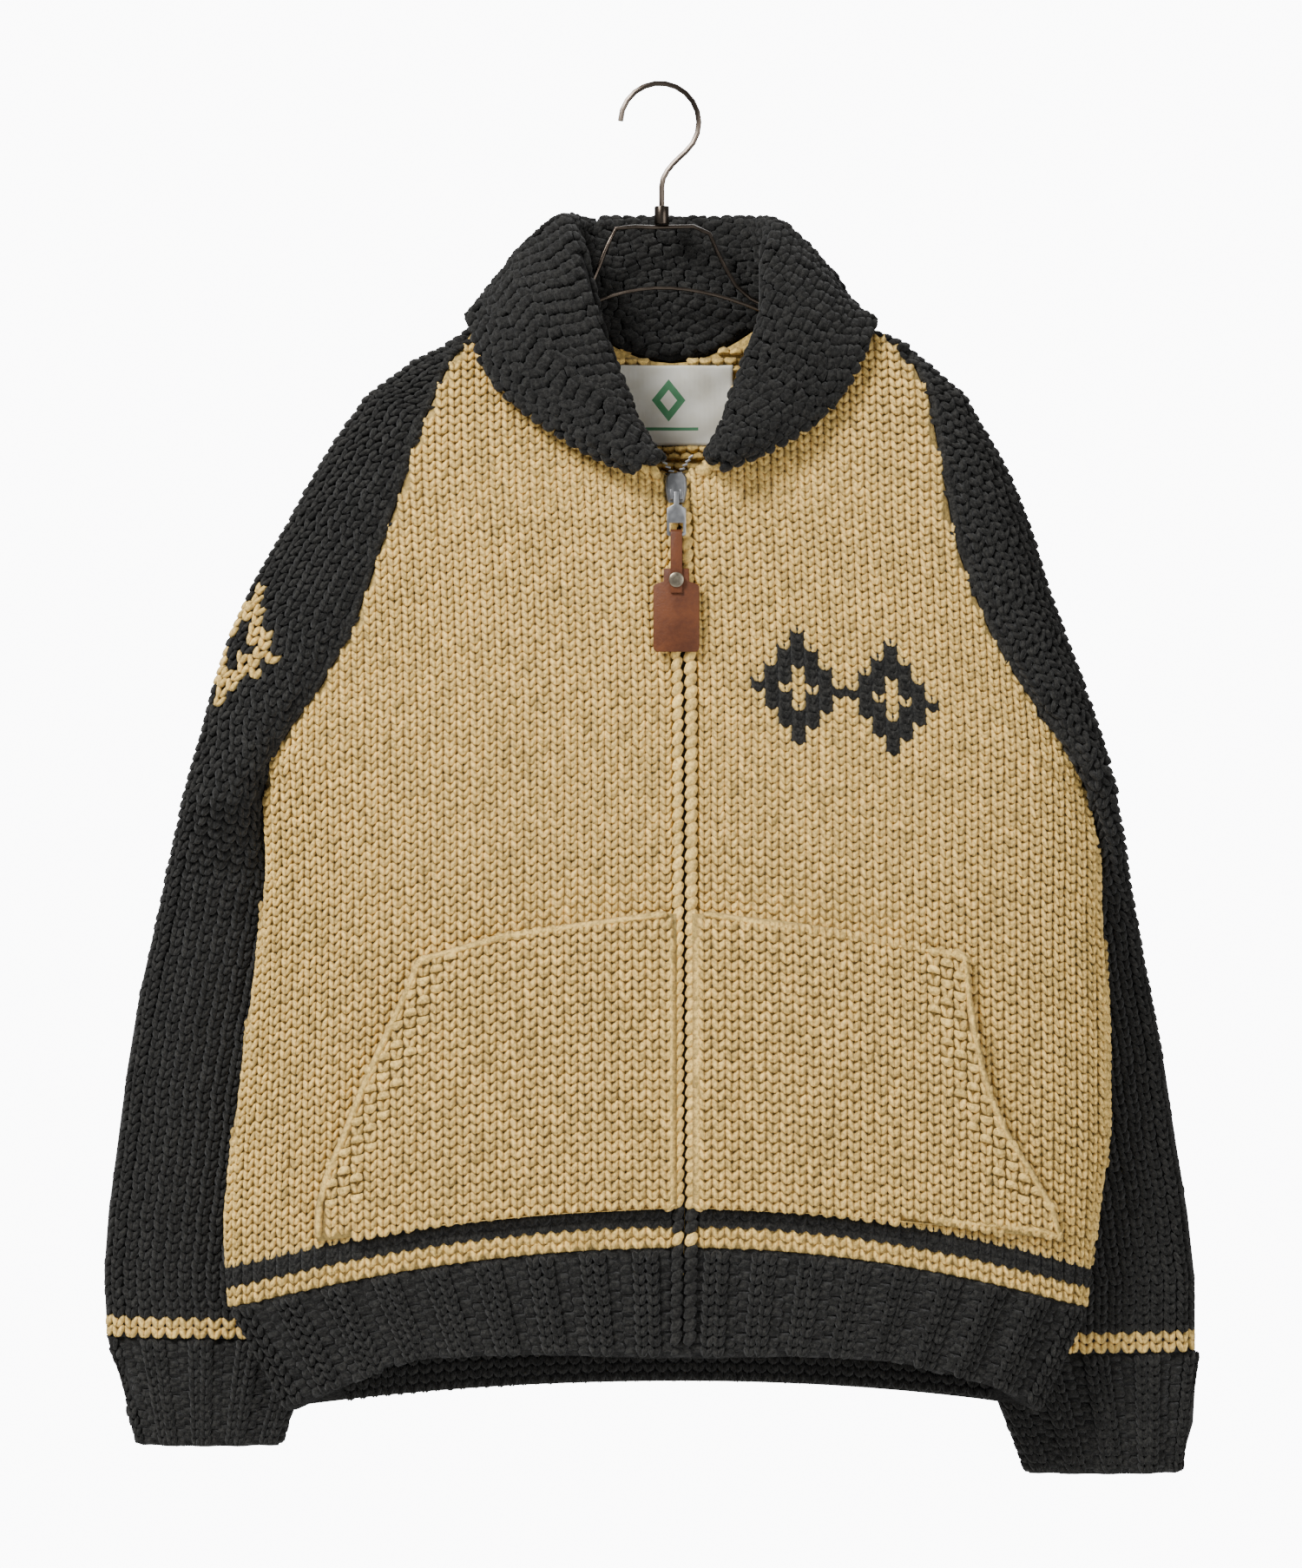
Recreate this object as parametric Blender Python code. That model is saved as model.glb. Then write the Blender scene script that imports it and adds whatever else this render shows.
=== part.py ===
"""Hand-knit raglan zip sweater with a shawl collar, hung on a steel hanger.

The origin is the inner top of the hanger's hook. +Z is up and the front faces -Y.
Left and right are as seen from the front, so left is -X. Every constant and table
here is in millimetres, and the functions that make objects turn them into metres.
"""
import math

import bmesh
import bpy
from mathutils import Vector
from mathutils.bvhtree import BVHTree

MM = 0.001
GAP = 0.3               # between pieces that meet
WALL = 5.0              # bulky single-ply knit
SEAM_BACK = 0.3         # how far each panel stops short of a raglan seam
SADDLE_BACK = 0.7       # the same where the walls wrap over the shoulder
SEAM_EASE = 16.0        # how far beside the shoulder's seams the walls turn
WELT_WALL = 5.0
WELT_GAP = 0.9          # the welts' ribs don't follow the panels' edge exactly
COLLAR_WALL = 7.0       # garter stitch is thicker
RIB_RISE = 2.0
RIB_PERIOD = 33.0       # knit two, purl two
RIB_PROFILE = (0.0, 1.0, 1.0, 0.0)

ARMPIT = -470.0
HEM = -803.0            # where the knitted panels end at the side seams
WELT_END = -871.0
NECK_TOP = -138.0
SADDLE_START = -215.0   # above this the sleeve's top narrows to a strip along the shoulder
SADDLE_END = -170.0
ZIP_TOP = -257.0
ZIP_SLOT = 3.4          # between the two fronts
FOLD_Y = 4.0            # the side seams' distance from the hook's plane
PANEL_COLUMNS = 9
BACK_COLUMNS = 16
SLEEVE_COLUMNS = 12


class Table:
    """Rows of named columns, read between rows by a smooth curve along the first column."""

    def __init__(self, names, *rows):
        self.names = names.split()
        self.rows = sorted(rows)
        self.keys = [row[0] for row in self.rows]

    def read(self, name, key):
        column = self.names.index(name)
        values = [row[column] for row in self.rows]
        if key <= self.keys[0]:
            return values[0]
        if key >= self.keys[-1]:
            return values[-1]
        low = max(i for i, row_key in enumerate(self.keys) if row_key <= key)
        span = self.keys[low + 1] - self.keys[low]
        t = (key - self.keys[low]) / span
        start, end = (self.slope(values, i) * span for i in (low, low + 1))
        rise = values[low + 1] - values[low]
        return values[low] + t * (start + t * (3 * rise - 2 * start - end + t * (start + end - 2 * rise)))

    def slope(self, values, i):
        """A slope that keeps the curve between its rows' values."""
        if i in (0, len(values) - 1):
            return 0.0
        before = (values[i] - values[i - 1]) / (self.keys[i] - self.keys[i - 1])
        after = (values[i + 1] - values[i]) / (self.keys[i + 1] - self.keys[i])
        if before * after <= 0:
            return 0.0
        return 2 * before * after / (before + after)


# The zip's line, and how far the front and the back lie from the hook's plane.
MIDDLE = Table(
    "z x",
    (-835, 14.3), (-733, 16.0), (-400, 15.5), (-300, 12.5), (-257, 10.5), (-138, 8.0),
)
DEPTH = Table(
    "z front back",
    (-871, 37, 27), (-760, 43, 30), (-620, 46, 31), (-470, 42, 31), (-330, 38, 29),
    (-260, 34, 27), (-200, 28, 26), (-150, 20, 20), (-120, 12, 14),
)

# Above the armpit, one row for each level of the raglan seams: the sleeves' silhouettes,
# the seams, how far the seams lie in front of and behind the hook's plane, the sleeves'
# fullness, how far a knitted row rises at the zip, and how far the back's row dips there.
UPPER = Table(
    "level outer_left raglan_left raglan_right outer_right front_y back_y full lift dip",
    (-138, -86.0, -83.0, 97.0, 100.0, -6, 11, 0.5, 0, 42),
    (-149, -106.0, -103.0, 115.0, 118.5, -7, 13, 0.8, 0, 38),
    (-161, -126.0, -122.0, 134.0, 137.5, -8, 15, 1.0, 1, 34),
    (-172, -143.0, -129.7, 156.6, 160.6, -10, 17, 2.0, 2, 30),
    (-184, -167.0, -138.0, 166.0, 177.0, -13, 20, 3.0, 4, 25),
    (-206, -193.7, -147.0, 176.0, 202.0, -18, 24, 4.0, 6, 16),
    (-230, -210.0, -157.0, 180.0, 214.0, -22, 26, 5.0, 8, 8),
    (-248, -221.5, -163.0, 183.0, 225.0, -24, 27, 5.0, 10, 3),
    (-262, -229.5, -167.0, 185.5, 231.5, -25, 28, 5.0, 13, 1),
    (-275, -236.5, -171.0, 188.0, 237.0, -25, 28, 6.0, 16, 0),
    (-300, -250.5, -180.0, 192.0, 246.0, -25, 28, 6.0, 22, 0),
    (-325, -265.5, -188.0, 201.0, 253.0, -24, 28, 6.0, 25, 0),
    (-360, -281.5, -201.0, 215.5, 265.5, -22, 27, 7.0, 28, 0),
    (-395, -293.0, -221.0, 236.0, 278.6, -18, 24, 9.0, 31, 0),
    (-425, -300.7, -243.0, 257.0, 288.5, -13, 20, 12.0, 34, 0),
    (-450, -308.0, -258.0, 274.5, 295.5, -7, 15, 16.0, 36, 0),
)

# Below the armpit, one row for each level of the side seams.
LOWER = Table(
    "level left right lift back_lift",
    (-470, -261.0, 282.0, 38, 10), (-490, -259.5, 287.0, 42, 11), (-515, -258.5, 290.0, 46, 12),
    (-550, -262.0, 291.0, 50, 13), (-600, -268.5, 295.0, 52, 14), (-650, -275.0, 296.0, 50, 15),
    (-700, -281.5, 295.5, 48, 15), (-745, -287.0, 288.0, 46, 15), (-777, -286.0, 283.5, 45, 15),
    (-803, -282.3, 281.0, 44, 15), (-826, -276.6, 278.0, 42, 15), (-850, -262.0, 262.0, 41, 15),
    (-871, -246.0, 250.0, 40, 15),
)

# The inner edges of the fronts above the zip, which the collar covers.
NECK_LEFT = Table(
    "z x",
    (-262, 9.0), (-256, -2.0), (-250, -13.0), (-238, -24.0), (-212, -36.0), (-180, -48.0),
    (-145, -58.0), (-120, -62.0),
)
NECK_RIGHT = Table(
    "z x",
    (-262, 12.0), (-256, 24.0), (-250, 36.0), (-238, 49.0), (-212, 60.0), (-180, 71.0),
    (-145, 81.0), (-120, 86.0),
)

# Each sleeve below the armpit: its outline, its middle's distance behind the hook's
# plane, where it hangs behind the body, and half its thickness.
SLEEVE_LEFT = Table(
    "level outer inner middle half",
    (-470, -313.7, -261.8, 4, 22), (-490, -319.5, -259.0, 15, 21), (-515, -327.0, -247.0, 28, 21),
    (-550, -336.0, -226.0, 38, 21), (-600, -348.0, -208.0, 43, 21), (-650, -356.5, -204.0, 45, 21),
    (-700, -363.0, -206.0, 45, 20), (-745, -369.0, -213.0, 45, 20), (-785, -372.0, -221.0, 45, 20),
    (-828, -370.0, -230.0, 44, 19),
)
SLEEVE_RIGHT = Table(
    "level outer inner middle half",
    (-470, 300.7, 282.8, 4, 18), (-490, 304.5, 288.0, 15, 20), (-515, 310.0, 284.0, 28, 20),
    (-550, 318.0, 262.0, 38, 21), (-600, 329.0, 232.0, 43, 21), (-650, 338.5, 215.0, 45, 21),
    (-700, 346.0, 207.0, 45, 20), (-745, 353.5, 206.0, 45, 20), (-790, 358.5, 208.0, 45, 20),
    (-838, 358.5, 214.0, 44, 19),
)
CUFF_LEFT = Table(
    "level outer inner middle half",
    (-828.3, -368.5, -232.0, 44, 17), (-858, -354.5, -239.0, 43, 16), (-880, -351.5, -245.0, 42, 15),
    (-900, -345.0, -254.0, 41, 13),
)
CUFF_RIGHT = Table(
    "level outer inner middle half",
    (-838.3, 357.0, 216.0, 44, 17), (-861, 356.5, 221.5, 43, 16), (-886, 355.0, 231.4, 42, 15),
    (-918.5, 345.0, 246.0, 41, 13),
)

# The bottom edge of the front welts, which waves, and of the back's.
HEM_FRONT = Table(
    "x z",
    (-246, -871), (-210, -855), (-158, -834), (-80, -830), (15, -832), (81, -831), (149, -835),
    (217, -853), (250, -871),
)

# The collar's stations from the left tip round the back of the neck to the right tip:
# where it is sewn along the neck, how far it clears the panels' edge there (more at the
# neck's corners), its turned edge and its outer edge.
COLLAR = Table(
    "station seam clear roll_x roll_y roll_z edge_x edge_y edge_z",
    (0, 0.015, 0.9, -1, -49, -251, -13, -48, -256), (1, 0.05, 0.9, -12, -46, -238, -39, -46, -246),
    (2, 0.10, 0.9, -23, -42, -212, -70, -40, -229), (3, 0.155, 0.9, -35, -37, -180, -104, -34, -203),
    (4, 0.21, 2.2, -45, -31, -145, -118, -24, -178), (5, 0.255, 5.4, -52, -20, -112, -122, -8, -160),
    (6, 0.30, 0.9, -62, -2, -92, -119, 14, -152), (7, 0.36, 0.9, -56, 16, -88, -102, 38, -162),
    (8, 0.43, 0.9, -32, 27, -87, -56, 48, -180), (9, 0.507, 0.9, 5, 30, -87, 5, 52, -188),
    (10, 0.585, 0.9, 42, 27, -87, 68, 48, -180), (11, 0.65, 0.9, 66, 16, -89, 112, 38, -164),
    (12, 0.71, 3.6, 75, -2, -95, 130, 14, -157), (13, 0.75, 7.0, 71, -20, -116, 134, -8, -166),
    (14, 0.79, 2.6, 71, -31, -149, 130, -24, -185), (15, 0.845, 0.9, 60, -37, -181, 111, -34, -214),
    (16, 0.90, 0.9, 49, -42, -212, 84, -41, -236), (17, 0.95, 2.2, 42, -46, -233, 57, -46, -247),
    (18, 0.985, 4.0, 33, -49, -248, 38, -48, -253),
)
COLLAR_STATIONS = 24
ROLL_RADIUS = 5.0
FALL_BULGE = 5.0
FALL_CLEARANCE = COLLAR_WALL / 2 + 2.0
NECK_CENTRE = (8.0, -5.0, -120.0)
SEAM_STEPS = 400
COLLAR_FOOT_HALF = (1.5, 2.6)       # half the collar's thickness where it is sewn on

# The pockets: the slanted openings' edges and the top edges' heights beside the zip.
POCKET_LEFT = Table(
    "z x",
    (-757, -223), (-723, -221), (-704, -212), (-654, -192), (-601, -168), (-571, -155),
)
POCKET_RIGHT = Table(
    "z x",
    (-757, 262), (-732, 254), (-682, 223), (-643, 209), (-582, 199), (-570, 198),
)
POCKET_ROWS = 8
POCKET_COLUMNS = 8
POCKET_TOP = -543.0
POCKET_DROP = 28.0
POCKET_FOOT = -733.0
POCKET_FOOT_DROP = 24.0
POCKET_GAPE = 3.0
POCKET_SIDE = 5.0
POCKET_CLEAR = 0.9

LABEL_LEFT = -37.0
LABEL_RIGHT = 48.6
LABEL_TOP = -182.0
LABEL_BOTTOM = -235.0
LABEL_THICK = 1.0
LABEL_ROWS = 4
LABEL_COLUMNS = 6
LABEL_OFF = WALL * 1.04 + 0.5       # from the sloping back's outer face to the label's

# Zip
TAPE_WIDTH = 13.0
TAPE_THICK = 1.2
CHAIN_HALF = 1.2
CHAIN_OUT = 1.5
ZIP_ROWS = 14
SLIDER_X = 10.7
SLIDER_TOP = -258.0
SLIDER_HIGH = 19.0
SLIDER_WIDE = 14.0
SLIDER_THICK = 3.0
SLIDER_NECK = 0.8
EAR_INSIDE = 2.2
EAR_OUTSIDE = 4.2
EAR_REACH = 6.5
EAR_HALF = 3.2

# Pull: the metal tab hangs on the slider, and the leather tag hangs on the tab.
AXIS_OUT = 9.2
PULL_AXIS_Z = -272.0
TAB_WIDE = 12.5
TAB_THICK = 1.8
TAB_TONGUE = 1.8
TAB_NECK = 7.5
EYE_AXIS_DROP = 26.0
EYE_WIDE = 8.6
EYE_HIGH = 6.4
EYE_BAR = 2.2
STRAP_WIDE = 7.6
STRAP_THICK = 1.4
STRAP_LONG = 38.0
LOOP_RADIUS = 1.9
TAG_THICK = 2.2
TAG_LEAN = math.radians(1.6)
TAG_NECK_TOP = -22.0
TAG_NECK_HALF = 8.3
TAG_SHOULDER = -32.0
TAG_HALF = 14.9
TAG_END = -76.0
RIVET_DROP = 29.5
RIVET_RADIUS = 4.9
RIVET_THICK = 1.6

# Hanger
HOOK_WIRE = 1.8
HOOK_CENTRE = (0.0, -24.0)
HOOK_RADIUS = 25.8
HOOK_TIP_ANGLE = 178.0
HOOK_TURN_ANGLE = -48.0
STEM_X = 1.4
STEM_TOP = -66.0
FERRULE_TOP = -79.4
FERRULE_BOTTOM = -91.2
FERRULE_RADIUS = 4.9
BAR_WIRE = 1.4
RAIL_WIRE = 1.2
BAR_ROUTE = (
    (-186, -212.0), (-167, -196.5), (-126, -172.0), (-100, -159.0), (-75, -148.5), (-50.3, -137.7),
    (-38.3, -115.0), (-32.5, -100.0), (-27.0, -93.1), (0, -93.1), (28.5, -93.1), (34.5, -102.0),
    (42.3, -118.0), (54.3, -136.0), (76.0, -147.5), (100, -157.0), (137, -171.5), (161, -184.0),
    (177, -195.0), (195, -211.0),
)
RAIL_ROUTE = (
    (-70, -149.5), (-64, -150.6), (-49, -144.6), (-24, -136.0), (3, -132.8), (32, -136.5), (60, -145.0),
    (79, -153.2), (84, -153.9),
)


def material(name, rgb, roughness, metallic=0.0):
    """A Principled material of one colour."""
    made = bpy.data.materials.new(name)
    made.use_nodes = True
    shader = made.node_tree.nodes["Principled BSDF"]
    shader.inputs["Base Color"].default_value = (*rgb, 1.0)
    shader.inputs["Roughness"].default_value = roughness
    shader.inputs["Metallic"].default_value = metallic
    made.diffuse_color = (*rgb, 1.0)
    return made


def add_object(name, mesh, look, parent=None, place=(0.0, 0.0, 0.0)):
    """Link a mesh as a named object, round faces smooth."""
    mesh.materials.append(look)
    mesh.shade_smooth()
    mesh.set_sharp_from_angle(angle=math.radians(50))
    made = bpy.data.objects.new(name, mesh)
    bpy.context.scene.collection.objects.link(made)
    made.location = place
    made.parent = parent
    return made


def mesh_of(name, points, faces):
    """A closed mesh from points in millimetres, its faces turned outwards."""
    work = bmesh.new()
    corners = [work.verts.new(Vector(point) * MM) for point in points]
    for face in faces:
        work.faces.new([corners[i] for i in face])
    bmesh.ops.recalc_face_normals(work, faces=work.faces)
    mesh = bpy.data.meshes.new(name)
    work.to_mesh(mesh)
    work.free()
    return mesh


def wall_mesh(name, outer, inner, tube_rows=0):
    """Close two like grids of points into one wall. The first tube_rows rows are rings,
    whose last point is their first one again."""
    rows = len(outer)
    columns = len(outer[0])
    points = []
    index = {}
    for layer, grid in enumerate((outer, inner)):
        for i in range(rows):
            for j in range(columns):
                if i < tube_rows and j == columns - 1:
                    index[layer, i, j] = index[layer, i, 0]
                    continue
                index[layer, i, j] = len(points)
                points.append(grid[i][j])
    faces = []
    for i in range(rows - 1):
        for j in range(columns - 1):
            for layer in (0, 1):
                corners = [(i, j), (i, j + 1), (i + 1, j + 1), (i + 1, j)]
                if layer:
                    corners.reverse()
                faces.append([index[layer, a, b] for a, b in corners])
    for j in range(columns - 1):
        for i in (0, rows - 1):
            faces.append([index[0, i, j], index[0, i, j + 1], index[1, i, j + 1], index[1, i, j]])
    for i in range(rows - 1):
        if i + 1 < tube_rows:
            continue
        for j in (0, columns - 1):
            faces.append([index[0, i, j], index[0, i + 1, j], index[1, i + 1, j], index[1, i, j]])
    return mesh_of(name, points, faces)


def grid_normals(grid, sign, tube_rows=0):
    """The outward normal at each point of a grid, from its neighbours."""
    rows = len(grid)
    last = len(grid[0]) - 1
    normals = []
    for i in range(rows):
        line = []
        for j in range(last + 1):
            if i < tube_rows and j in (0, last):
                across = grid[i][1] - grid[i][last - 1]
            else:
                across = grid[i][min(j + 1, last)] - grid[i][max(j - 1, 0)]
            along = grid[min(i + 1, rows - 1)][j] - grid[max(i - 1, 0)][j]
            line.append(across.cross(along).normalized() * sign)
        normals.append(line)
    return normals


def inner_grid(outer, normals, thickness):
    """Points the wall's thickness inside a grid."""
    return [
        [point - normal * thickness for point, normal in zip(points, line)]
        for points, line in zip(outer, normals)
    ]


def flatten(normals, axis):
    """Keep a wall's edge in its seam's plane, by turning its normals into that plane."""
    for normal in normals:
        normal[axis] = 0.0
        normal.normalize()


def share_seam(first, first_edge, second, second_edge, rows):
    """Give the walls of two panels one direction along the seam between them: halfway
    between the normals a column inside each panel."""
    for one, other in zip(first.normals[-rows:], second.normals[-rows:]):
        mean = (one[1 if first_edge == 0 else -2] + other[1 if second_edge == 0 else -2]).normalized()
        one[first_edge] = mean
        other[second_edge] = mean


def resample(points, count):
    """The same line at count + 1 points spaced evenly along it."""
    lengths = [0.0]
    for before, after in zip(points, points[1:]):
        lengths.append(lengths[-1] + (after - before).length)
    line = []
    for k in range(count + 1):
        goal = lengths[-1] * k / count
        low = max(i for i in range(len(points) - 1) if lengths[i] <= goal + 1e-9)
        t = (goal - lengths[low]) / (lengths[low + 1] - lengths[low])
        line.append(points[low].lerp(points[low + 1], min(t, 1.0)))
    return line


def upper_levels():
    return list(UPPER.keys)


def lower_levels(low):
    return [key for key in LOWER.keys if key >= low]


def side_x(side, level):
    """The body's edge: its side below the armpit, and the raglan seam above it."""
    if level > ARMPIT:
        return UPPER.read("raglan_left" if side < 0 else "raglan_right", level)
    return LOWER.read("left" if side < 0 else "right", level)


def share_between(level, low, high):
    return min(max((level - low) / (high - low), 0.0), 1.0)


def roundness(level):
    """The power that rounds a panel's edge: a fold at the side, a slope at the raglan."""
    return 0.5 + 0.5 * share_between(level, ARMPIT, ARMPIT + 70.0)


def front_z(share, level):
    """The height of a knitted row of the front, share running from 0 at the zip to 1."""
    lift = (UPPER if level > ARMPIT else LOWER).read("lift", level)
    return level + lift * (1.0 - share * share)


def back_z(share, level):
    """The height of a knitted row of the back, which dips into the neckline."""
    flat = 1.0 - share * share
    if level > ARMPIT:
        rise = 10.0 * min((NECK_TOP - level) / (NECK_TOP - ARMPIT), 1.0)
        return level + rise * flat - UPPER.read("dip", level) * flat ** 1.5
    return level + LOWER.read("back_lift", level) * flat


def panel_y(share, level, z, facing):
    """How far the front (facing -1) or back (facing 1) lies from the hook's plane."""
    if level > ARMPIT:
        edge = UPPER.read("front_y" if facing < 0 else "back_y", level)
    else:
        edge = FOLD_Y + facing * GAP / 2
    depth = facing * DEPTH.read("front" if facing < 0 else "back", z)
    return edge + (depth - edge) * (1.0 - abs(share) ** 2.4) ** roundness(level)


def front_point(side, share, level):
    edge = side_x(side, level)
    z = front_z(share, level)
    middle = MIDDLE.read("x", z)
    x = middle + share * (edge - middle)
    return Vector((x, panel_y(share, level, z, -1), z))


def front_limit(side, level):
    """The share at which a front's row meets the zip or the neck's edge."""
    neck = NECK_LEFT if side < 0 else NECK_RIGHT
    low, high = 0.0, 1.0
    for _ in range(30):
        share = (low + high) / 2
        point = front_point(side, share, level)
        edge = MIDDLE.read("x", point.z) + side * ZIP_SLOT / 2
        if point.z > neck.keys[0]:
            edge = neck.read("x", point.z)
        inside = (point.x - edge) * side < 0
        low, high = (share, high) if inside else (low, share)
    return high


def front_row(side, level, count):
    """A row of a front from its side or raglan seam to the zip or the neck."""
    limit = front_limit(side, level)
    return [
        front_point(side, limit + (1.0 - limit) * column_share(j / count, level), level)
        for j in range(count + 1)
    ]


def column_share(u, level):
    """From 1 at a panel's edge to 0: close set round a fold, and even above the armpit."""
    even = share_between(level, ARMPIT, ARMPIT + 70.0)
    return even * (1.0 - u) + (1.0 - even) * math.cos(math.pi / 2 * u)


def back_point(share, level):
    """share runs from -1 at the left seam to 1 at the right one."""
    edge = side_x(-1 if share < 0 else 1, level)
    z = back_z(share, level)
    middle = MIDDLE.read("x", z)
    return Vector((middle + abs(share) * (edge - middle), panel_y(share, level, z, 1), z))


def back_row(level, count):
    line = []
    for j in range(count + 1):
        u = 2.0 * j / count
        share = -column_share(u, level) if u <= 1.0 else column_share(2.0 - u, level)
        line.append(back_point(share, level))
    return line


def sleeve_row(side, level, count, shape):
    """A level of a sleeve, from the front round its outer side to the back: an arc between
    the raglan seams above the armpit, and a ring below it."""
    above = level > ARMPIT
    if above:
        inner = side_x(side, level)
        outer = UPPER.read("outer_left" if side < 0 else "outer_right", level)
        middle = 3.0
        reach = (UPPER.read("front_y", level) - middle, UPPER.read("back_y", level) - middle)
        full = UPPER.read("full", level)
    else:
        inner, outer = shape.read("inner", level), shape.read("outer", level)
        middle, full = shape.read("middle", level), shape.read("half", level)
        reach = (0.0, 0.0)
    spread = share_between(level, ARMPIT, ARMPIT + 75.0)
    straight = share_between(level, SADDLE_START, SADDLE_END)
    line = []
    for j in range(count + 1):
        turn = 2.0 * j / count
        facing = -1.0 if turn < 1.0 else 1.0
        t = min(turn, 2.0 - turn)
        ring = (1.0 - math.cos(math.pi * t)) / 2
        arc = straight * t + (1.0 - straight) * math.sin(math.pi * t / 2)
        across = ring + spread * (arc - ring)
        drop = straight * (1.0 - t) + (1.0 - straight) * math.cos(math.pi * t / 2)
        edge = reach[0] if facing < 0 else reach[1]
        puff = facing * full * max(math.sin(math.pi * t), 0.0) ** 0.7
        line.append(Vector((inner + (outer - inner) * across, middle + edge * drop + puff, level)))
    return line


class Panel:
    """A knitted panel: a grid of outer points, its outward normals and its inner points."""

    def __init__(self, name, outer, sign, tube_rows=0):
        self.name = name
        self.outer = outer
        self.tube_rows = tube_rows
        self.normals = grid_normals(outer, sign, tube_rows)
        flatten(self.normals[0], 2)

    def fan(self, rows):
        """Turn the normals of a narrow strip evenly from one edge over to the other."""
        middle = (len(self.outer[0]) - 1) // 2
        for line in self.normals[-rows:]:
            for j in range(1, 2 * middle):
                end = 0 if j < middle else -1
                line[j] = line[end].lerp(line[middle], 1.0 - abs(j - middle) / middle).normalized()

    def ease(self, index, rows):
        """Turn the normals beside a seam gradually over to the seam's own."""
        for points, line in zip(self.outer[-rows:], self.normals[-rows:]):
            for j, point in enumerate(points):
                share = (point - points[index]).length / SEAM_EASE
                if share < 1.0:
                    line[j] = line[index].lerp(line[j], share).normalized()

    def draw_back(self, index, rows):
        """Draw an edge back from its seam, along the panel's own surface."""
        first = len(self.outer) - rows
        last = len(self.outer) - 1
        inside = 1 if index == 0 else -2
        edge = [line[index].copy() for line in self.outer]
        for i in range(first, last + 1):
            along = edge[min(i + 1, last)] - edge[i - 1]
            away = along.cross(self.normals[i][index]).normalized()
            if away.dot(self.outer[i][inside] - edge[i]) < 0:
                away.negate()
            saddle = share_between(edge[i].z, SADDLE_START, SADDLE_END)
            self.outer[i][index] = edge[i] + away * (SEAM_BACK + saddle * (SADDLE_BACK - SEAM_BACK))

    def build(self, wool):
        self.inner = inner_grid(self.outer, self.normals, WALL)
        add_object(self.name, wall_mesh(self.name, self.outer, self.inner, self.tube_rows), wool)


def build_body(cream, charcoal):
    """Two fronts that part at the zip, the back, and the sleeves, which are tubes below the
    armpit and open above it between their two raglan seams."""
    levels = sorted(lower_levels(HEM) + upper_levels())
    seam_rows = levels.index(ARMPIT) + 1
    raglan_rows = len(levels) - seam_rows
    back = Panel("back", [back_row(level, BACK_COLUMNS) for level in levels], -1)
    panels = {"back": back}
    shapes = {-1: SLEEVE_LEFT, 1: SLEEVE_RIGHT}
    for side, word in ((-1, "left"), (1, "right")):
        front = Panel(f"front_{word}", [front_row(side, level, PANEL_COLUMNS) for level in levels], -side)
        sleeve_levels = list(shapes[side].keys) + upper_levels()
        rows = [sleeve_row(side, level, SLEEVE_COLUMNS, shapes[side]) for level in sleeve_levels]
        sleeve = Panel(f"sleeve_{word}", rows, side, len(shapes[side].keys))
        edge = 0 if side < 0 else -1
        flatten([line[0] for line in front.normals[:seam_rows]], 1)
        flatten([line[edge] for line in back.normals[:seam_rows]], 1)
        share_seam(front, 0, sleeve, 0, raglan_rows)
        share_seam(back, edge, sleeve, -1, raglan_rows)
        saddle_rows = len([level for level in levels if level > SADDLE_START])
        sleeve.fan(saddle_rows)
        front.ease(0, saddle_rows)
        back.ease(edge, saddle_rows)
        for panel, index in ((front, 0), (sleeve, 0), (sleeve, -1), (back, edge)):
            panel.draw_back(index, raglan_rows)
        panels["front", side] = front
        panels["sleeve", side] = sleeve
        front.build(cream)
        sleeve.build(charcoal)
    back.build(cream)
    return panels


def ribbed(rows, normals):
    """Raise ribs along the columns of rows of evenly spaced points."""
    return [
        [
            point + normal * RIB_RISE * RIB_PROFILE[j % len(RIB_PROFILE)]
            for j, (point, normal) in enumerate(zip(*pair))
        ]
        for pair in zip(rows, normals)
    ]


def rib_columns(points):
    """Whole ribs along a line of points, four columns each."""
    length = sum((after - before).length for before, after in zip(points, points[1:]))
    return len(RIB_PROFILE) * round(length / RIB_PERIOD)


def build_welts(panels, wool):
    """The ribbed bands below the panels, each made from its panel's bottom edge."""
    for key, name, side in (
        (("front", -1), "welt_front_left", -1),
        (("front", 1), "welt_front_right", 1),
        ("back", "welt_back", 0),
    ):
        top = [point - Vector((0, 0, WELT_GAP)) for point in panels[key].outer[0]]
        shares = [k / 80 for k in range(81)]
        if side:
            limit = front_limit(side, WELT_END)
            turns = [math.cos(math.pi / 2 * u) for u in shares]
            end = [front_point(side, limit + (1 - limit) * turn, WELT_END) for turn in turns]
            for point in end:
                point.z = HEM_FRONT.read("z", point.x)
        else:
            end = [back_point(-math.cos(math.pi * u), WELT_END) for u in shares]
        count = rib_columns(top)
        rows = [resample(line, count) for line in (end, top)]
        rows.insert(1, [low.lerp(high, 0.5) for low, high in zip(*rows)])
        normals = grid_normals(rows, -side or -1)
        flatten(normals[-1], 2)
        for column in (0,) if side else (0, count):
            flatten([line[column] for line in normals], 1)
        inner = inner_grid(rows, normals, WELT_WALL)
        outer = ribbed(rows, normals)
        for column in (0, count):
            for i, line in enumerate(rows):
                outer[i][column] = line[column]
        add_object(name, wall_mesh(name, outer, inner), wool)


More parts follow.
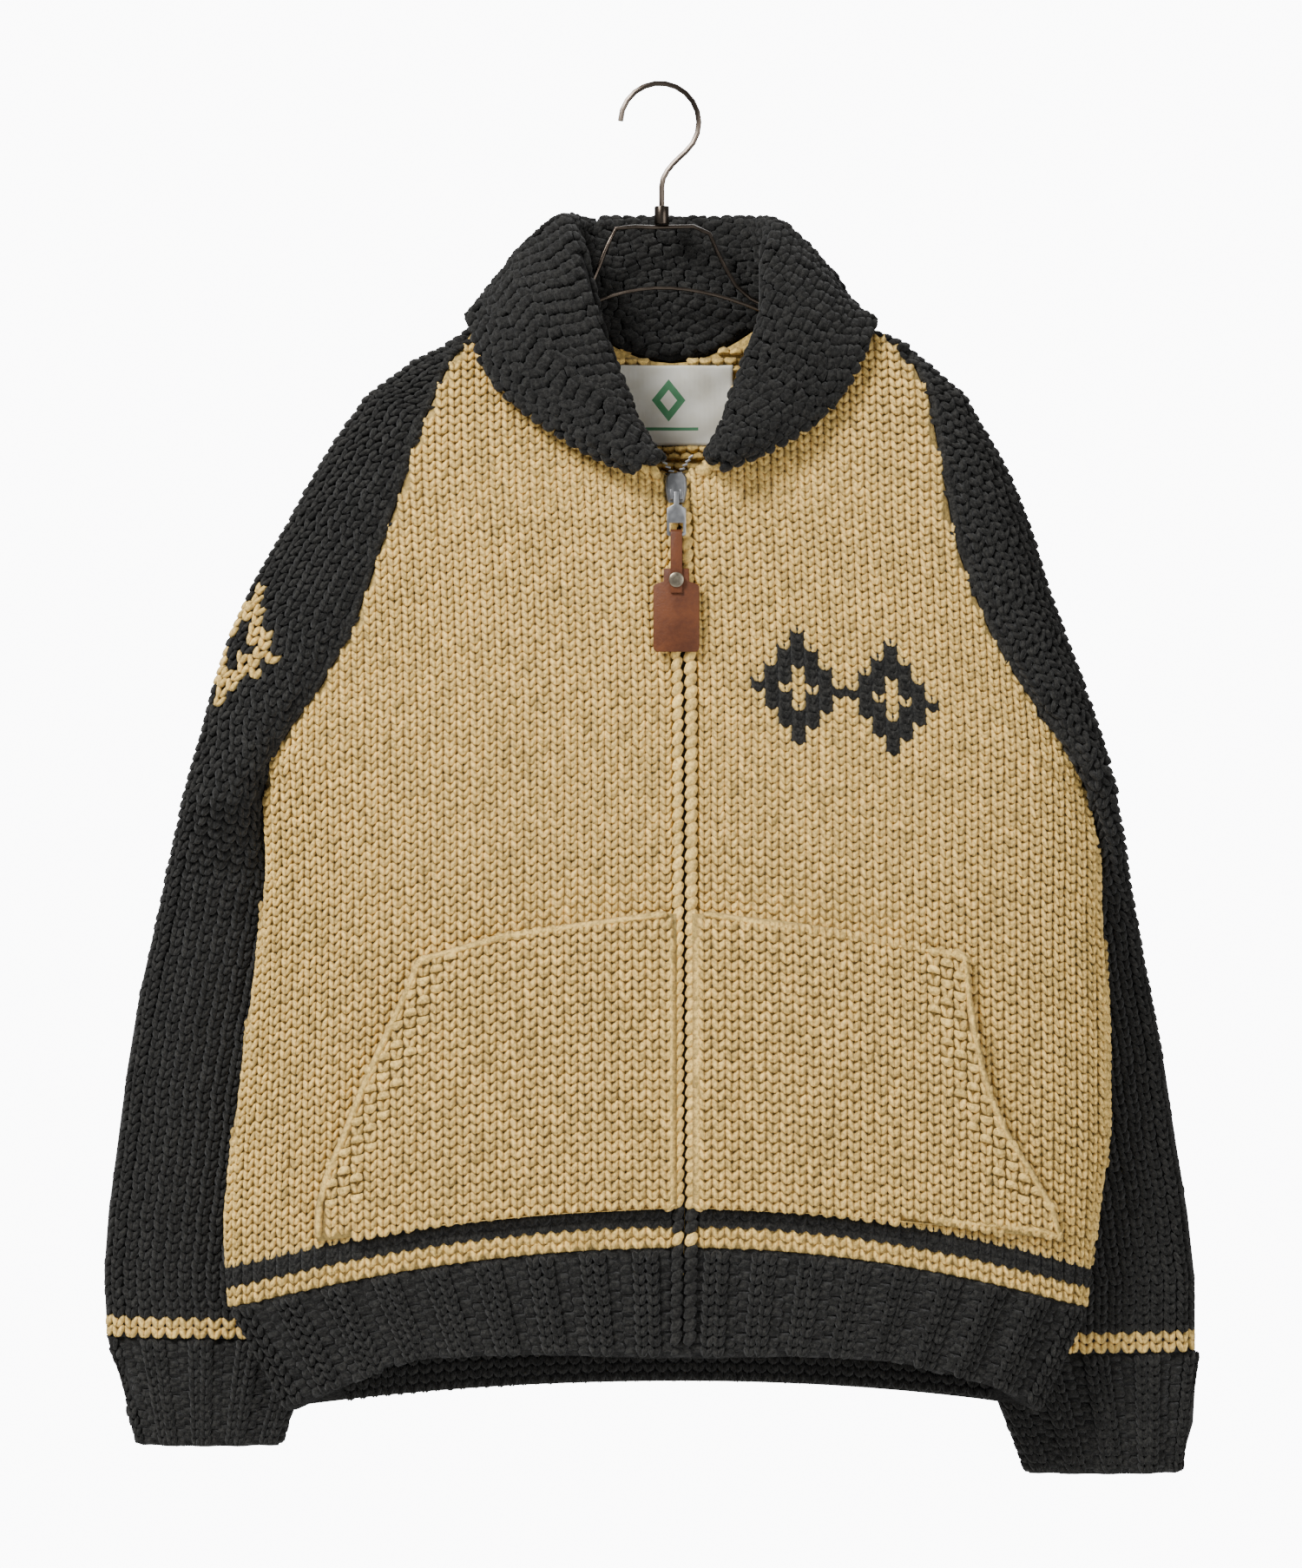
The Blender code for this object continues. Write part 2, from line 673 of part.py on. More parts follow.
def build_cuffs(wool):
    for side, name, shape in ((-1, "cuff_left", CUFF_LEFT), (1, "cuff_right", CUFF_RIGHT)):
        dense = [sleeve_row(side, level, 80, shape) for level in shape.keys]
        count = rib_columns(dense[-1])
        rows = [resample(line, count) for line in dense]
        normals = grid_normals(rows, side, len(rows))
        flatten(normals[-1], 2)
        inner = inner_grid(rows, normals, WELT_WALL)
        outer = ribbed(rows, normals)
        add_object(name, wall_mesh(name, outer, inner, len(rows)), wool)


def neck_seam(panels):
    """The outer and the inner corner of the wall's edge all round the neck, from the left
    front's V round the back to the right front's V."""
    line = []
    for side in (-1, 1):
        front, sleeve, back = panels["front", side], panels["sleeve", side], panels["back"]
        edge = [(a[-1], b[-1]) for a, b in zip(front.outer, front.inner) if a[-1].z > ZIP_TOP]
        top = list(zip(front.outer[-1], front.inner[-1]))[::-1]
        strip = list(zip(sleeve.outer[-1], sleeve.inner[-1]))
        half = edge + top[1:] + strip
        if side < 0:
            line = half + list(zip(back.outer[-1], back.inner[-1]))
        else:
            line += half[::-1]
    return [resample(list(corner), SEAM_STEPS) for corner in zip(*line)]


def build_collar(wool, seam, trees):
    """A shawl collar: a stand that rises from the neck, rolls over and falls outside."""
    spots = [COLLAR.keys[-1] * k / COLLAR_STATIONS for k in range(COLLAR_STATIONS + 1)]

    def spot(prefix, station):
        return Vector([COLLAR.read(f"{prefix}_{axis}", station) for axis in "xyz"])

    rolls = [spot("roll", station) for station in spots]
    edges = [spot("edge", station) for station in spots]
    sewn_at = [round(COLLAR.read("seam", station) * SEAM_STEPS) for station in spots]
    grid = []
    for k in range(COLLAR_STATIONS + 1):
        roll, edge = rolls[k], edges[k]
        along = (rolls[min(k + 1, COLLAR_STATIONS)] - rolls[max(k - 1, 0)]).normalized()
        fall = (edge - roll).normalized()
        out = along.cross(fall).normalized()
        sewn = sewn_at[k]
        start = roll + (fall - out) * ROLL_RADIUS
        after, before = min(sewn + 3, SEAM_STEPS), max(sewn - 3, 0)
        middle = (seam[0][sewn] + seam[1][sewn]) / 2
        away = (seam[0][after] - seam[0][before]).cross(seam[0][sewn] - seam[1][sewn]).normalized()
        if away.dot(Vector(NECK_CENTRE) - middle) < 0:
            away.negate()
        foot = middle + away * COLLAR.read("clear", spots[k])
        line = [foot, foot.lerp(start, 0.33), foot.lerp(start, 0.67)]
        for angle in (-90, -45, 0, 45, 90):
            turn = math.radians(angle)
            line.append(roll + ROLL_RADIUS * (fall * (1 - math.cos(turn)) + out * math.sin(turn)))
        top = line[-1]
        for t in (0.25, 0.5, 0.75, 1.0):
            point = top.lerp(edge, t) + out * FALL_BULGE * math.sin(math.pi * t)
            line.append(lifted(point, trees, out))
        grid.append(line)
    normals = grid_normals(grid, 1)
    for line, sewn in zip(normals, sewn_at):
        wall = (seam[0][sewn] - seam[1][sewn]).normalized()
        line[0] = wall if wall.dot(line[0]) > 0 else -wall
    outer, inner = [], []
    for line, turned in zip(grid, normals):
        halves = [*COLLAR_FOOT_HALF, *[COLLAR_WALL / 2] * (len(line) - len(COLLAR_FOOT_HALF))]
        outer.append([point + normal * half for point, normal, half in zip(line, turned, halves)])
        inner.append([point - normal * half for point, normal, half in zip(line, turned, halves)])
    add_object("collar", wall_mesh("collar", outer, inner), wool)


def lifted(point, trees, out):
    """Move a point out until it is clear of the panels beneath."""
    for _ in range(40):
        near = [tree.find_nearest(point) for tree in trees]
        spot, normal, _, distance = min(near, key=lambda found: found[3])
        if distance >= FALL_CLEARANCE and (point - spot).dot(normal) > 0:
            break
        point = point + out
    return point


def build_pockets(wool):
    """Slanted patch pockets, their points those of the fronts moved out."""
    rows, columns = POCKET_ROWS, POCKET_COLUMNS
    for side, name, slant in ((-1, "pocket_left", POCKET_LEFT), (1, "pocket_right", POCKET_RIGHT)):
        outer, inner = [], []
        for i in range(rows + 1):
            v = i / rows
            middle_z = POCKET_FOOT + v * (POCKET_TOP - POCKET_FOOT)
            drop = POCKET_FOOT_DROP + v * (POCKET_DROP - POCKET_FOOT_DROP)
            start = MIDDLE.read("x", middle_z) + side * POCKET_SIDE
            end = slant.read("x", middle_z - drop)
            line_out, line_in = [], []
            for j in range(columns + 1):
                u = 1.0 - (1.0 - j / columns) ** 1.6
                x = start + u * (end - start)
                z = middle_z - drop * u ** 1.6
                y = front_y(side, x, z)
                gape = POCKET_GAPE * max(u - 0.8, 0.0) / 0.2 * math.sin(math.pi * v)
                line_in.append(Vector((x, y - POCKET_CLEAR - gape, z)))
                line_out.append(Vector((x, y - POCKET_CLEAR - gape - WALL, z)))
            outer.append(line_out)
            inner.append(line_in)
        add_object(name, wall_mesh(name, outer, inner), wool)


def front_y(side, x, z):
    """The front's surface at x and z below the armpit."""
    level = z
    for _ in range(20):
        middle = MIDDLE.read("x", z)
        share = min(abs(x - middle) / abs(side_x(side, level) - middle), 1.0)
        level = z - (front_z(share, level) - level)
    return panel_y(share, level, z, -1)


def build_label(look):
    """The neck label, on the back's inner side."""
    rows, columns = LABEL_ROWS, LABEL_COLUMNS
    outer, inner = [], []
    for i in range(rows + 1):
        z = LABEL_BOTTOM + (LABEL_TOP - LABEL_BOTTOM) * i / rows
        line = [LABEL_LEFT + (LABEL_RIGHT - LABEL_LEFT) * j / columns for j in range(columns + 1)]
        face = [Vector((x, back_y(x, z) - LABEL_OFF, z)) for x in line]
        inner.append(face)
        outer.append([point - Vector((0, LABEL_THICK, 0)) for point in face])
    add_object("neck_label", wall_mesh("neck_label", outer, inner), look)


def back_y(x, z):
    """The back's outer surface at x and z near the neck, found along its rows."""
    level = z
    for _ in range(60):
        middle = MIDDLE.read("x", z)
        side = -1 if x < middle else 1
        share = min(abs(x - middle) / abs(side_x(side, level) - middle), 1.0)
        level += 0.5 * (z - back_z(share, level))
    return panel_y(share, level, z, 1)


def build_zip(metal):
    """Two tapes behind the fronts' edges, each with its half of the chain in the slot."""
    top = ZIP_TOP
    bottom = HEM_FRONT.read("z", MIDDLE.read("x", WELT_END)) + 4.0
    for side, name in ((-1, "zip_tape_left"), (1, "zip_tape_right")):
        rows = []
        for i in range(ZIP_ROWS + 1):
            z = bottom + (top - bottom) * i / ZIP_ROWS
            x = MIDDLE.read("x", z)
            face = -DEPTH.read("front", z)
            back = face + WALL + 0.6
            profile = (
                (GAP / 2, face + CHAIN_OUT), (CHAIN_HALF, face + CHAIN_OUT), (CHAIN_HALF, back),
                (TAPE_WIDTH, back), (TAPE_WIDTH, back + TAPE_THICK), (GAP / 2, back + TAPE_THICK),
            )
            rows.append([Vector((x + side * dx, y, z)) for dx, y in profile])
        add_object(name, loft_mesh(name, rows), metal)


def loft_mesh(name, sections):
    """Closed sections joined one to the next, with flat ends."""
    count = len(sections[0])
    points = [point for section in sections for point in section]
    faces = [list(range(count)), list(range(len(points) - count, len(points)))]
    for i in range(len(sections) - 1):
        for j in range(count):
            a, b = i * count + j, i * count + (j + 1) % count
            faces.append([a, b, b + count, a + count])
    return mesh_of(name, points, faces)


def zip_face():
    """The fronts' outer surface at the slider."""
    return -DEPTH.read("front", SLIDER_TOP - SLIDER_HIGH)


def build_slider(metal):
    """A plate in front of the fronts, its neck in the slot, and two ears for the tab."""
    face = zip_face()
    plate_back, plate_front = face - 0.8, face - 0.8 - SLIDER_THICK
    axis_z = PULL_AXIS_Z
    half = SLIDER_WIDE / 2
    outline = (
        (-SLIDER_NECK, face + CHAIN_OUT - GAP), (SLIDER_NECK, face + CHAIN_OUT - GAP),
        (SLIDER_NECK, plate_back), (half, plate_back), (half, plate_front + 1.0), (half - 1.5, plate_front),
        (EAR_OUTSIDE, plate_front), (EAR_INSIDE, plate_front), (-EAR_INSIDE, plate_front),
        (-EAR_OUTSIDE, plate_front), (-half + 1.5, plate_front), (-half, plate_front + 1.0),
        (-half, plate_back), (-SLIDER_NECK, plate_back),
    )
    heights = (SLIDER_TOP - SLIDER_HIGH, axis_z - EAR_HALF, axis_z + EAR_HALF, SLIDER_TOP - 2.5, SLIDER_TOP)
    widths = (0.72, 0.85, 1.0, 1.0, 0.7)
    sections = []
    for z, wide in zip(heights, widths):
        sections.append([
            Vector((SLIDER_X + (x if abs(x) <= EAR_OUTSIDE else x * wide), y, z)) for x, y in outline
        ])
    mesh = loft_mesh("zip_slider", sections)
    work = bmesh.new()
    work.from_mesh(mesh)
    low, high = (axis_z - EAR_HALF) * MM, (axis_z + EAR_HALF) * MM
    for sign in (-1, 1):
        pad = [
            found for found in work.faces
            if found.normal.y < -0.9 and low < found.calc_center_median().z < high
            and EAR_INSIDE * MM < sign * (found.calc_center_median().x - SLIDER_X * MM) < EAR_OUTSIDE * MM
        ]
        grown = bmesh.ops.extrude_face_region(work, geom=pad)
        moved = [part for part in grown["geom"] if isinstance(part, bmesh.types.BMVert)]
        bmesh.ops.delete(work, geom=pad, context="FACES")
        bmesh.ops.translate(work, verts=moved, vec=(0.0, -EAR_REACH * MM, 0.0))
    work.to_mesh(mesh)
    work.free()
    add_object("zip_slider", mesh, metal)


def prism(name, outline, y_back, y_front, hole=None):
    """A flat plate from an outline in X and Z, with one optional rectangular hole."""
    if hole is None:
        return loft_mesh(name, [[Vector((x, y, z)) for x, z in outline] for y in (y_back, y_front)])
    count = len(outline)
    points = [Vector((x, y, z)) for y in (y_back, y_front) for x, z in (*outline, *hole)]
    layer = count + len(hole)
    faces = []
    for j in range(count):
        k = (j + 1) % count
        faces.append([j, k, k + layer, j + layer])
        faces.append([j, k, count + k, count + j])
        faces.append([layer + j, layer + k, layer + count + k, layer + count + j])
        faces.append([count + j, count + k, count + k + layer, count + j + layer])
    return mesh_of(name, points, faces)


def build_pull(metal, leather):
    """The metal tab on the slider's ears, and the leather strap and tag on the tab's eye."""
    axis = Vector((SLIDER_X, zip_face() - AXIS_OUT, PULL_AXIS_Z))
    pull = bpy.data.objects.new("pull_axis", None)
    bpy.context.scene.collection.objects.link(pull)
    pull.location = axis * MM
    half, bar = TAB_WIDE / 2, EYE_AXIS_DROP
    eye = EYE_WIDE / 2
    low, high = -bar + EYE_BAR / 2, -bar + EYE_BAR / 2 + EYE_HIGH
    outline = (
        (-TAB_TONGUE, 2.0), (TAB_TONGUE, 2.0), (TAB_TONGUE, -TAB_NECK + 1.0), (half, -TAB_NECK - 1.5),
        (half, -bar - EYE_BAR / 2 + 1.0), (half - 1.5, -bar - EYE_BAR / 2),
        (-half + 1.5, -bar - EYE_BAR / 2),
        (-half, -bar - EYE_BAR / 2 + 1.0), (-half, -TAB_NECK - 1.5), (-TAB_TONGUE, -TAB_NECK + 1.0),
    )
    hole = (
        (-1.0, high), (1.0, high), (2.5, high), (eye, high), (eye, low + 1.0), (eye - 1.0, low),
        (-eye + 1.0, low), (-eye, low + 1.0), (-eye, high), (-2.5, high),
    )
    tab = prism("zip_pull_tab", outline, TAB_THICK / 2, -TAB_THICK / 2, hole)
    add_object("zip_pull_tab", tab, metal, pull)

    tag = bpy.data.objects.new("tag_axis", None)
    bpy.context.scene.collection.objects.link(tag)
    tag.parent = pull
    tag.location = (0.0, 0.0, -bar * MM)
    tag.rotation_euler = (-TAG_LEAN, 0.0, 0.0)
    inner_y = TAG_THICK / 2 + GAP
    outer_y = inner_y + STRAP_THICK
    arc = [math.radians(angle) for angle in range(0, 181, 30)]
    inside = [(LOOP_RADIUS * math.cos(a), LOOP_RADIUS * math.sin(a)) for a in arc]
    rim = LOOP_RADIUS + STRAP_THICK
    outside = [(rim * math.cos(a), rim * math.sin(a)) for a in arc]
    loop = (
        [(outer_y, -STRAP_LONG), *outside, (-outer_y, -STRAP_LONG), (-inner_y, -STRAP_LONG)]
        + inside[::-1] + [(inner_y, -STRAP_LONG)]
    )
    wide = STRAP_WIDE / 2
    strap = loft_mesh("pull_strap", [[Vector((x, y, z)) for y, z in loop] for x in (-wide, wide)])
    add_object("pull_strap", strap, leather, tag)
    shape = (
        (-TAG_NECK_HALF, TAG_NECK_TOP), (TAG_NECK_HALF, TAG_NECK_TOP), (TAG_NECK_HALF, TAG_SHOULDER + 1.5),
        (TAG_HALF - 1.5, TAG_SHOULDER), (TAG_HALF, TAG_SHOULDER - 1.5), (TAG_HALF, TAG_END + 2.0),
        (TAG_HALF - 2.0, TAG_END), (-TAG_HALF + 2.0, TAG_END), (-TAG_HALF, TAG_END + 2.0),
        (-TAG_HALF, TAG_SHOULDER - 1.5), (-TAG_HALF + 1.5, TAG_SHOULDER),
        (-TAG_NECK_HALF, TAG_SHOULDER + 1.5),
    )
    add_object("pull_tag", prism("pull_tag", shape, TAG_THICK / 2, -TAG_THICK / 2), leather, tag)
    face = -outer_y - GAP
    rim = [math.tau * k / 16 for k in range(16)]
    sections = []
    for y, share in ((face, 1.0), (face - RIVET_THICK * 0.6, 1.0), (face - RIVET_THICK, 0.72)):
        sections.append([
            Vector((RIVET_RADIUS * share * math.cos(a), y, -RIVET_DROP + RIVET_RADIUS * share * math.sin(a)))
            for a in rim
        ])
    add_object("tag_rivet", loft_mesh("tag_rivet", sections), metal, tag)


def wire(name, points, radius, look):
    """A round wire through points, with flat ends."""
    curve = bpy.data.curves.new(name, "CURVE")
    curve.dimensions = "3D"
    curve.bevel_depth = radius * MM
    curve.bevel_resolution = 2
    curve.use_fill_caps = True
    spline = curve.splines.new("POLY")
    spline.points.add(len(points) - 1)
    for slot, (x, z) in zip(spline.points, points):
        slot.co = (x * MM, 0.0, z * MM, 1.0)
    curve.materials.append(look)
    made = bpy.data.objects.new(name, curve)
    bpy.context.scene.collection.objects.link(made)


def smooth_route(route, step):
    """Points every step along a smooth curve through a route of (x, z) points."""
    dense = []
    for k in range(len(route) - 1):
        before, start, end, after = (
            Vector(route[min(max(k + offset, 0), len(route) - 1)]) for offset in (-1, 0, 1, 2)
        )
        for i in range(10):
            t = i / 10
            dense.append(0.5 * (
                2 * start + (end - before) * t + (2 * before - 5 * start + 4 * end - after) * t * t
                + (3 * start - before - 3 * end + after) * t ** 3
            ))
    dense.append(Vector(route[-1]))
    length = sum((after - before).length for before, after in zip(dense, dense[1:]))
    return [tuple(point) for point in resample(dense, round(length / step))]


def build_hanger(steel):
    """Hook, ferrule, the bar that carries the shoulders, and the arched rail below it."""
    centre = Vector(HOOK_CENTRE)
    arc = []
    for k in range(15):
        angle = math.radians(HOOK_TIP_ANGLE + (HOOK_TURN_ANGLE - HOOK_TIP_ANGLE) * k / 14)
        arc.append(centre + HOOK_RADIUS * Vector((math.cos(angle), math.sin(angle))))
    turn = math.radians(HOOK_TURN_ANGLE)
    leave = Vector((math.sin(turn), -math.cos(turn)))
    start, end = arc[-1], Vector((STEM_X, STEM_TOP))
    bend = [
        (1 - t) ** 3 * start + 3 * (1 - t) ** 2 * t * (start + leave * 9) + 3 * (1 - t) * t * t
        * (end + Vector((0, 9))) + t ** 3 * end
        for t in (0.2, 0.4, 0.6, 0.8, 1.0)
    ]
    stem = [*arc, *bend, Vector((STEM_X, FERRULE_TOP + GAP))]
    wire("hanger_hook", [tuple(point) for point in stem], HOOK_WIRE, steel)
    rim = [math.tau * k / 16 for k in range(16)]
    sections = []
    for z in (FERRULE_BOTTOM, FERRULE_TOP):
        sections.append([
            Vector((STEM_X + FERRULE_RADIUS * math.cos(a), FERRULE_RADIUS * math.sin(a), z)) for a in rim
        ])
    add_object("hanger_ferrule", loft_mesh("hanger_ferrule", sections), steel)
    wire("hanger_bar", smooth_route(BAR_ROUTE, 13.0), BAR_WIRE, steel)
    wire("hanger_rail", smooth_route(RAIL_ROUTE, 10.0), RAIL_WIRE, steel)


def tree_of(name):
    mesh = bpy.data.objects[name].data
    points = [vertex.co / MM for vertex in mesh.vertices]
    return BVHTree.FromPolygons(points, [list(face.vertices) for face in mesh.polygons])


def main():
    for old in list(bpy.data.objects):
        bpy.data.objects.remove(old, do_unlink=True)
    cream = material("cream wool", (0.72, 0.55, 0.28), 0.95)
    charcoal = material("charcoal wool", (0.045, 0.045, 0.047), 0.95)
    steel = material("bronzed steel", (0.42, 0.36, 0.31), 0.32, 1.0)
    zinc = material("zip metal", (0.45, 0.46, 0.47), 0.35, 1.0)
    leather = material("brown leather", (0.37, 0.11, 0.045), 0.55)
    woven = material("woven label", (0.78, 0.76, 0.68), 0.7)

    panels = build_body(cream, charcoal)
    build_welts(panels, charcoal)
    build_cuffs(charcoal)
    trees = [tree_of(name) for name in ("front_left", "front_right", "back", "sleeve_left", "sleeve_right")]
    build_collar(charcoal, neck_seam(panels), trees)
    build_pockets(cream)
    build_label(woven)
    build_zip(zinc)
    build_slider(zinc)
    build_pull(zinc, leather)
    build_hanger(steel)


main()
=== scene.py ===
"""A hand-knit shawl-collar zip sweater on its steel hanger, dressed over its solids."""
import math

import bmesh
import bpy
import numpy as np
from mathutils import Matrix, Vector
from mathutils.bvhtree import BVHTree


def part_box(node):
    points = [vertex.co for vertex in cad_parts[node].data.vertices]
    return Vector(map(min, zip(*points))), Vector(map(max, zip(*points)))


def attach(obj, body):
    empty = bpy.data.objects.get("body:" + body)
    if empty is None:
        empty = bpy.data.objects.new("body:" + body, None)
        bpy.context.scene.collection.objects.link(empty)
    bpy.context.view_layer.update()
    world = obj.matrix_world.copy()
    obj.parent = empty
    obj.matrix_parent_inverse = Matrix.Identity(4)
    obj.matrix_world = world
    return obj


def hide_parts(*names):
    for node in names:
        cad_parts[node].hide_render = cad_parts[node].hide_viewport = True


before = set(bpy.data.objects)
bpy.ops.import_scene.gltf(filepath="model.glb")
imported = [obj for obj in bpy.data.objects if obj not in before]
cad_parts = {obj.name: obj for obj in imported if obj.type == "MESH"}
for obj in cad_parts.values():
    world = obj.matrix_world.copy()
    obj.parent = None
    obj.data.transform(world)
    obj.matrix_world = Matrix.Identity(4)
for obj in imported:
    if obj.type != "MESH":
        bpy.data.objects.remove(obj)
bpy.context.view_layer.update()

draw = np.random.default_rng(7)
SIDES = ((-1, "left"), (1, "right"))  # the sign of X on a side, and its word in names


class Socket:
    """A shader value that adds Math nodes as it is added, taken away or multiplied."""

    def __init__(self, finish, link):
        self.finish, self.link = finish, link

    def __add__(self, other):
        return self.finish.math("ADD", self, other)

    def __sub__(self, other):
        return self.finish.math("SUBTRACT", self, other)

    def __rsub__(self, other):
        return self.finish.math("SUBTRACT", other, self)

    def __mul__(self, other):
        return self.finish.math("MULTIPLY", self, other)

    __radd__, __rmul__ = __add__, __mul__

    def smooth(self, low, high):
        """0 below low, 1 above high, smooth between them."""
        smoothed = {"interpolation_type": "SMOOTHSTEP"}
        return self.finish.add("ShaderNodeMapRange", smoothed, self, low, high)


class Finish:
    """A new Principled material and what is needed to wire it."""

    def __init__(self, name, **fixed):
        self.material = bpy.data.materials.new(name)
        self.material.use_nodes = True
        self.tree = self.material.node_tree
        self.shader = self.tree.nodes["Principled BSDF"]
        for key, value in fixed.items():
            self.shader.inputs[key.replace("_", " ")].default_value = value

    def fill(self, node, values):
        """Links or sets a node's inputs, by their numbers or names."""
        for key, value in values.items():
            if isinstance(value, Socket):
                self.tree.links.new(value.link, node.inputs[key])
            else:
                node.inputs[key].default_value = value

    def add(self, kind, settings, *values, out=0, **named):
        node = self.tree.nodes.new(kind)
        for key, value in settings.items():
            setattr(node, key, value)
        self.fill(node, {**dict(enumerate(values)), **named})
        return Socket(self, node.outputs[out])

    def math(self, operation, *values):
        return self.add("ShaderNodeMath", {"operation": operation}, *values)

    def place(self):
        return self.add("ShaderNodeTexCoord", {}, out="Object")

    def noise(self, scale, detail):
        return self.add("ShaderNodeTexNoise", {}, self.place(), Scale=scale, Detail=detail)

    def mix(self, share, first, second, blend="MIX"):
        node = self.tree.nodes.new("ShaderNodeMix")
        node.data_type, node.blend_type = "RGBA", blend
        self.fill(node, {0: share, 6: first, 7: second})
        return Socket(self, node.outputs[2])

    def feed(self, key, value):
        self.tree.links.new(value.link, self.shader.inputs[key])

    def colour(self, share, first, second, blend="MIX"):
        self.feed("Base Color", self.mix(share, first, second, blend))

    def bump(self, height, distance, strength):
        values = {"Strength": strength, "Distance": distance, "Height": height}
        self.feed("Normal", self.add("ShaderNodeBump", {}, **values))


# The view: the sweater hangs in the open, seen straight on from a little over two and
# a half metres, above a pale floor, in the soft light of a big window at the upper left.
STAND_OFF = 2.6
AIM = Vector((-0.0057, 0.0, -0.4594))
LENS, FAR = 90.7, 50.0  # in mm, and how far the camera sees in metres
FLOOR_RADIUS, FLOOR_Z = 2.3, -1.45
FLOOR_COLOUR, FLOOR_ROUGHNESS = (0.86, 0.86, 0.85, 1.0), 0.85
ROOM_COLOUR = (0.985, 0.985, 1.0, 1.0)
ROOM_LIGHT, BACKDROP = 0.30, 11.0  # the room's strength as a light, and as seen
LIGHTS = (  # place, size, power
    ((-1.5, -1.7, 1.5), 0.9, 124.0),
    ((1.9, -2.2, -0.1), 1.6, 28.0),
    ((0.6, 2.2, 0.6), 1.8, 30.0),
)

bpy.ops.object.camera_add(
    location=AIM + Vector((0.0, -STAND_OFF, 0.0)), rotation=(math.pi / 2, 0.0, 0.0),
)
camera = bpy.context.object
camera.data.lens = LENS
camera.data.clip_end = FAR
bpy.context.scene.camera = camera

bpy.ops.mesh.primitive_circle_add(
    vertices=96, radius=FLOOR_RADIUS, fill_type="NGON", location=(0.0, 0.0, FLOOR_Z),
)
floor = bpy.context.object
floor.name = "floor"
pale = Finish("pale floor", Base_Color=FLOOR_COLOUR, Roughness=FLOOR_ROUGHNESS)
floor.data.materials.append(pale.material)

world = bpy.context.scene.world or bpy.data.worlds.new("room")
bpy.context.scene.world = world
world.use_nodes = True
tree = world.node_tree
seen = tree.nodes.new("ShaderNodeLightPath")
room = tree.nodes.new("ShaderNodeMix")
room.data_type = "FLOAT"
room.inputs[2].default_value = ROOM_LIGHT
room.inputs[3].default_value = BACKDROP
tree.links.new(seen.outputs["Is Camera Ray"], room.inputs[0])
light = tree.nodes["Background"].inputs
light["Color"].default_value = ROOM_COLOUR
tree.links.new(room.outputs[0], light["Strength"])

for place, size, power in LIGHTS:
    bpy.ops.object.light_add(type="AREA", location=place)
    lamp = bpy.context.object
    lamp.data.size = size
    lamp.data.energy = power
    lamp.rotation_euler = (AIM - Vector(place)).to_track_quat("-Z", "Y").to_euler()


# Yarn: bulky single-ply wool, spun loosely enough that its fibres stand off it. The cream
# is undyed, and the charcoal is a heather of black and grey fleece.
CREAM = (0.98, 0.665, 0.200)
CHARCOAL = (0.0200, 0.0193, 0.0175)
# The collar is knitted in the same charcoal; here its colour is darker as painted shade, for the
# shade its own ridges cast.
CHARCOAL_IN_PAINTED_SHADE = (0.0140, 0.0135, 0.0122)


def wool(name, painted_shadow_level=1.0):
    """The yarn's colour, with its painted shade, comes with each stitch; fibres, flecks and fuzz
    are added here, and the second argument darkens all of it as painted shadow.
    """
    made = Finish(
        name, Roughness=0.94, Sheen_Weight=0.09, Sheen_Roughness=0.6, Specular_IOR_Level=0.14,
    )
    yarn = made.add("ShaderNodeAttribute", {"attribute_name": "yarn"})
    fibres = made.noise(1500.0, 3.0)
    flecks = made.noise(420.0, 2.0)
    patches = made.noise(22.0, 3.0)
    grey = made.add("ShaderNodeAttribute", {"attribute_name": "yarn"}, out="Fac")
    pale = grey.smooth(0.08, 0.3)
    undyed = 0.40 + 0.34 * fibres.smooth(0.3, 0.7) + 0.56 * flecks.smooth(0.32, 0.68)
    heather = 0.12 + 0.80 * fibres.smooth(0.36, 0.64) + 1.05 * flecks.smooth(0.40, 0.66)
    light = undyed * pale + heather * (1 - pale) + 0.22 * patches
    shade = made.add("ShaderNodeCombineXYZ", {}, light * painted_shadow_level, light * painted_shadow_level, light * painted_shadow_level)
    made.colour(1.0, yarn, shade, "MULTIPLY")
    made.bump(fibres * 0.6 + flecks * 0.8, 0.0011, 0.75)
    return made.material


KNIT = wool("knitting wool")
# The cloth behind the stitches takes this wool at half brightness, as painted shadow where the
# stitches cover it.
BACKING_IN_PAINTED_SHADOW = wool("wool behind the stitches in painted shadow", 0.5)


# Stitches: each leg of a knit stitch is one plump grain of yarn, modelled once. A purl
# stitch shows as one bowed grain lying across. They are copied over every panel.
PLUMP, THINNEST = 0.35, 0.05  # how blunt a grain's ends are, and what is left pointed


def shape_of(primitive):
    """The corners and faces of an object, which is then removed."""
    corners = np.array([vertex.co for vertex in primitive.data.vertices])
    faces = [list(face.vertices) for face in primitive.data.polygons]
    bpy.data.objects.remove(primitive)
    return corners, faces


def added(name, mesh):
    piece = bpy.data.objects.new(name, mesh)
    bpy.context.scene.collection.objects.link(piece)
    return piece


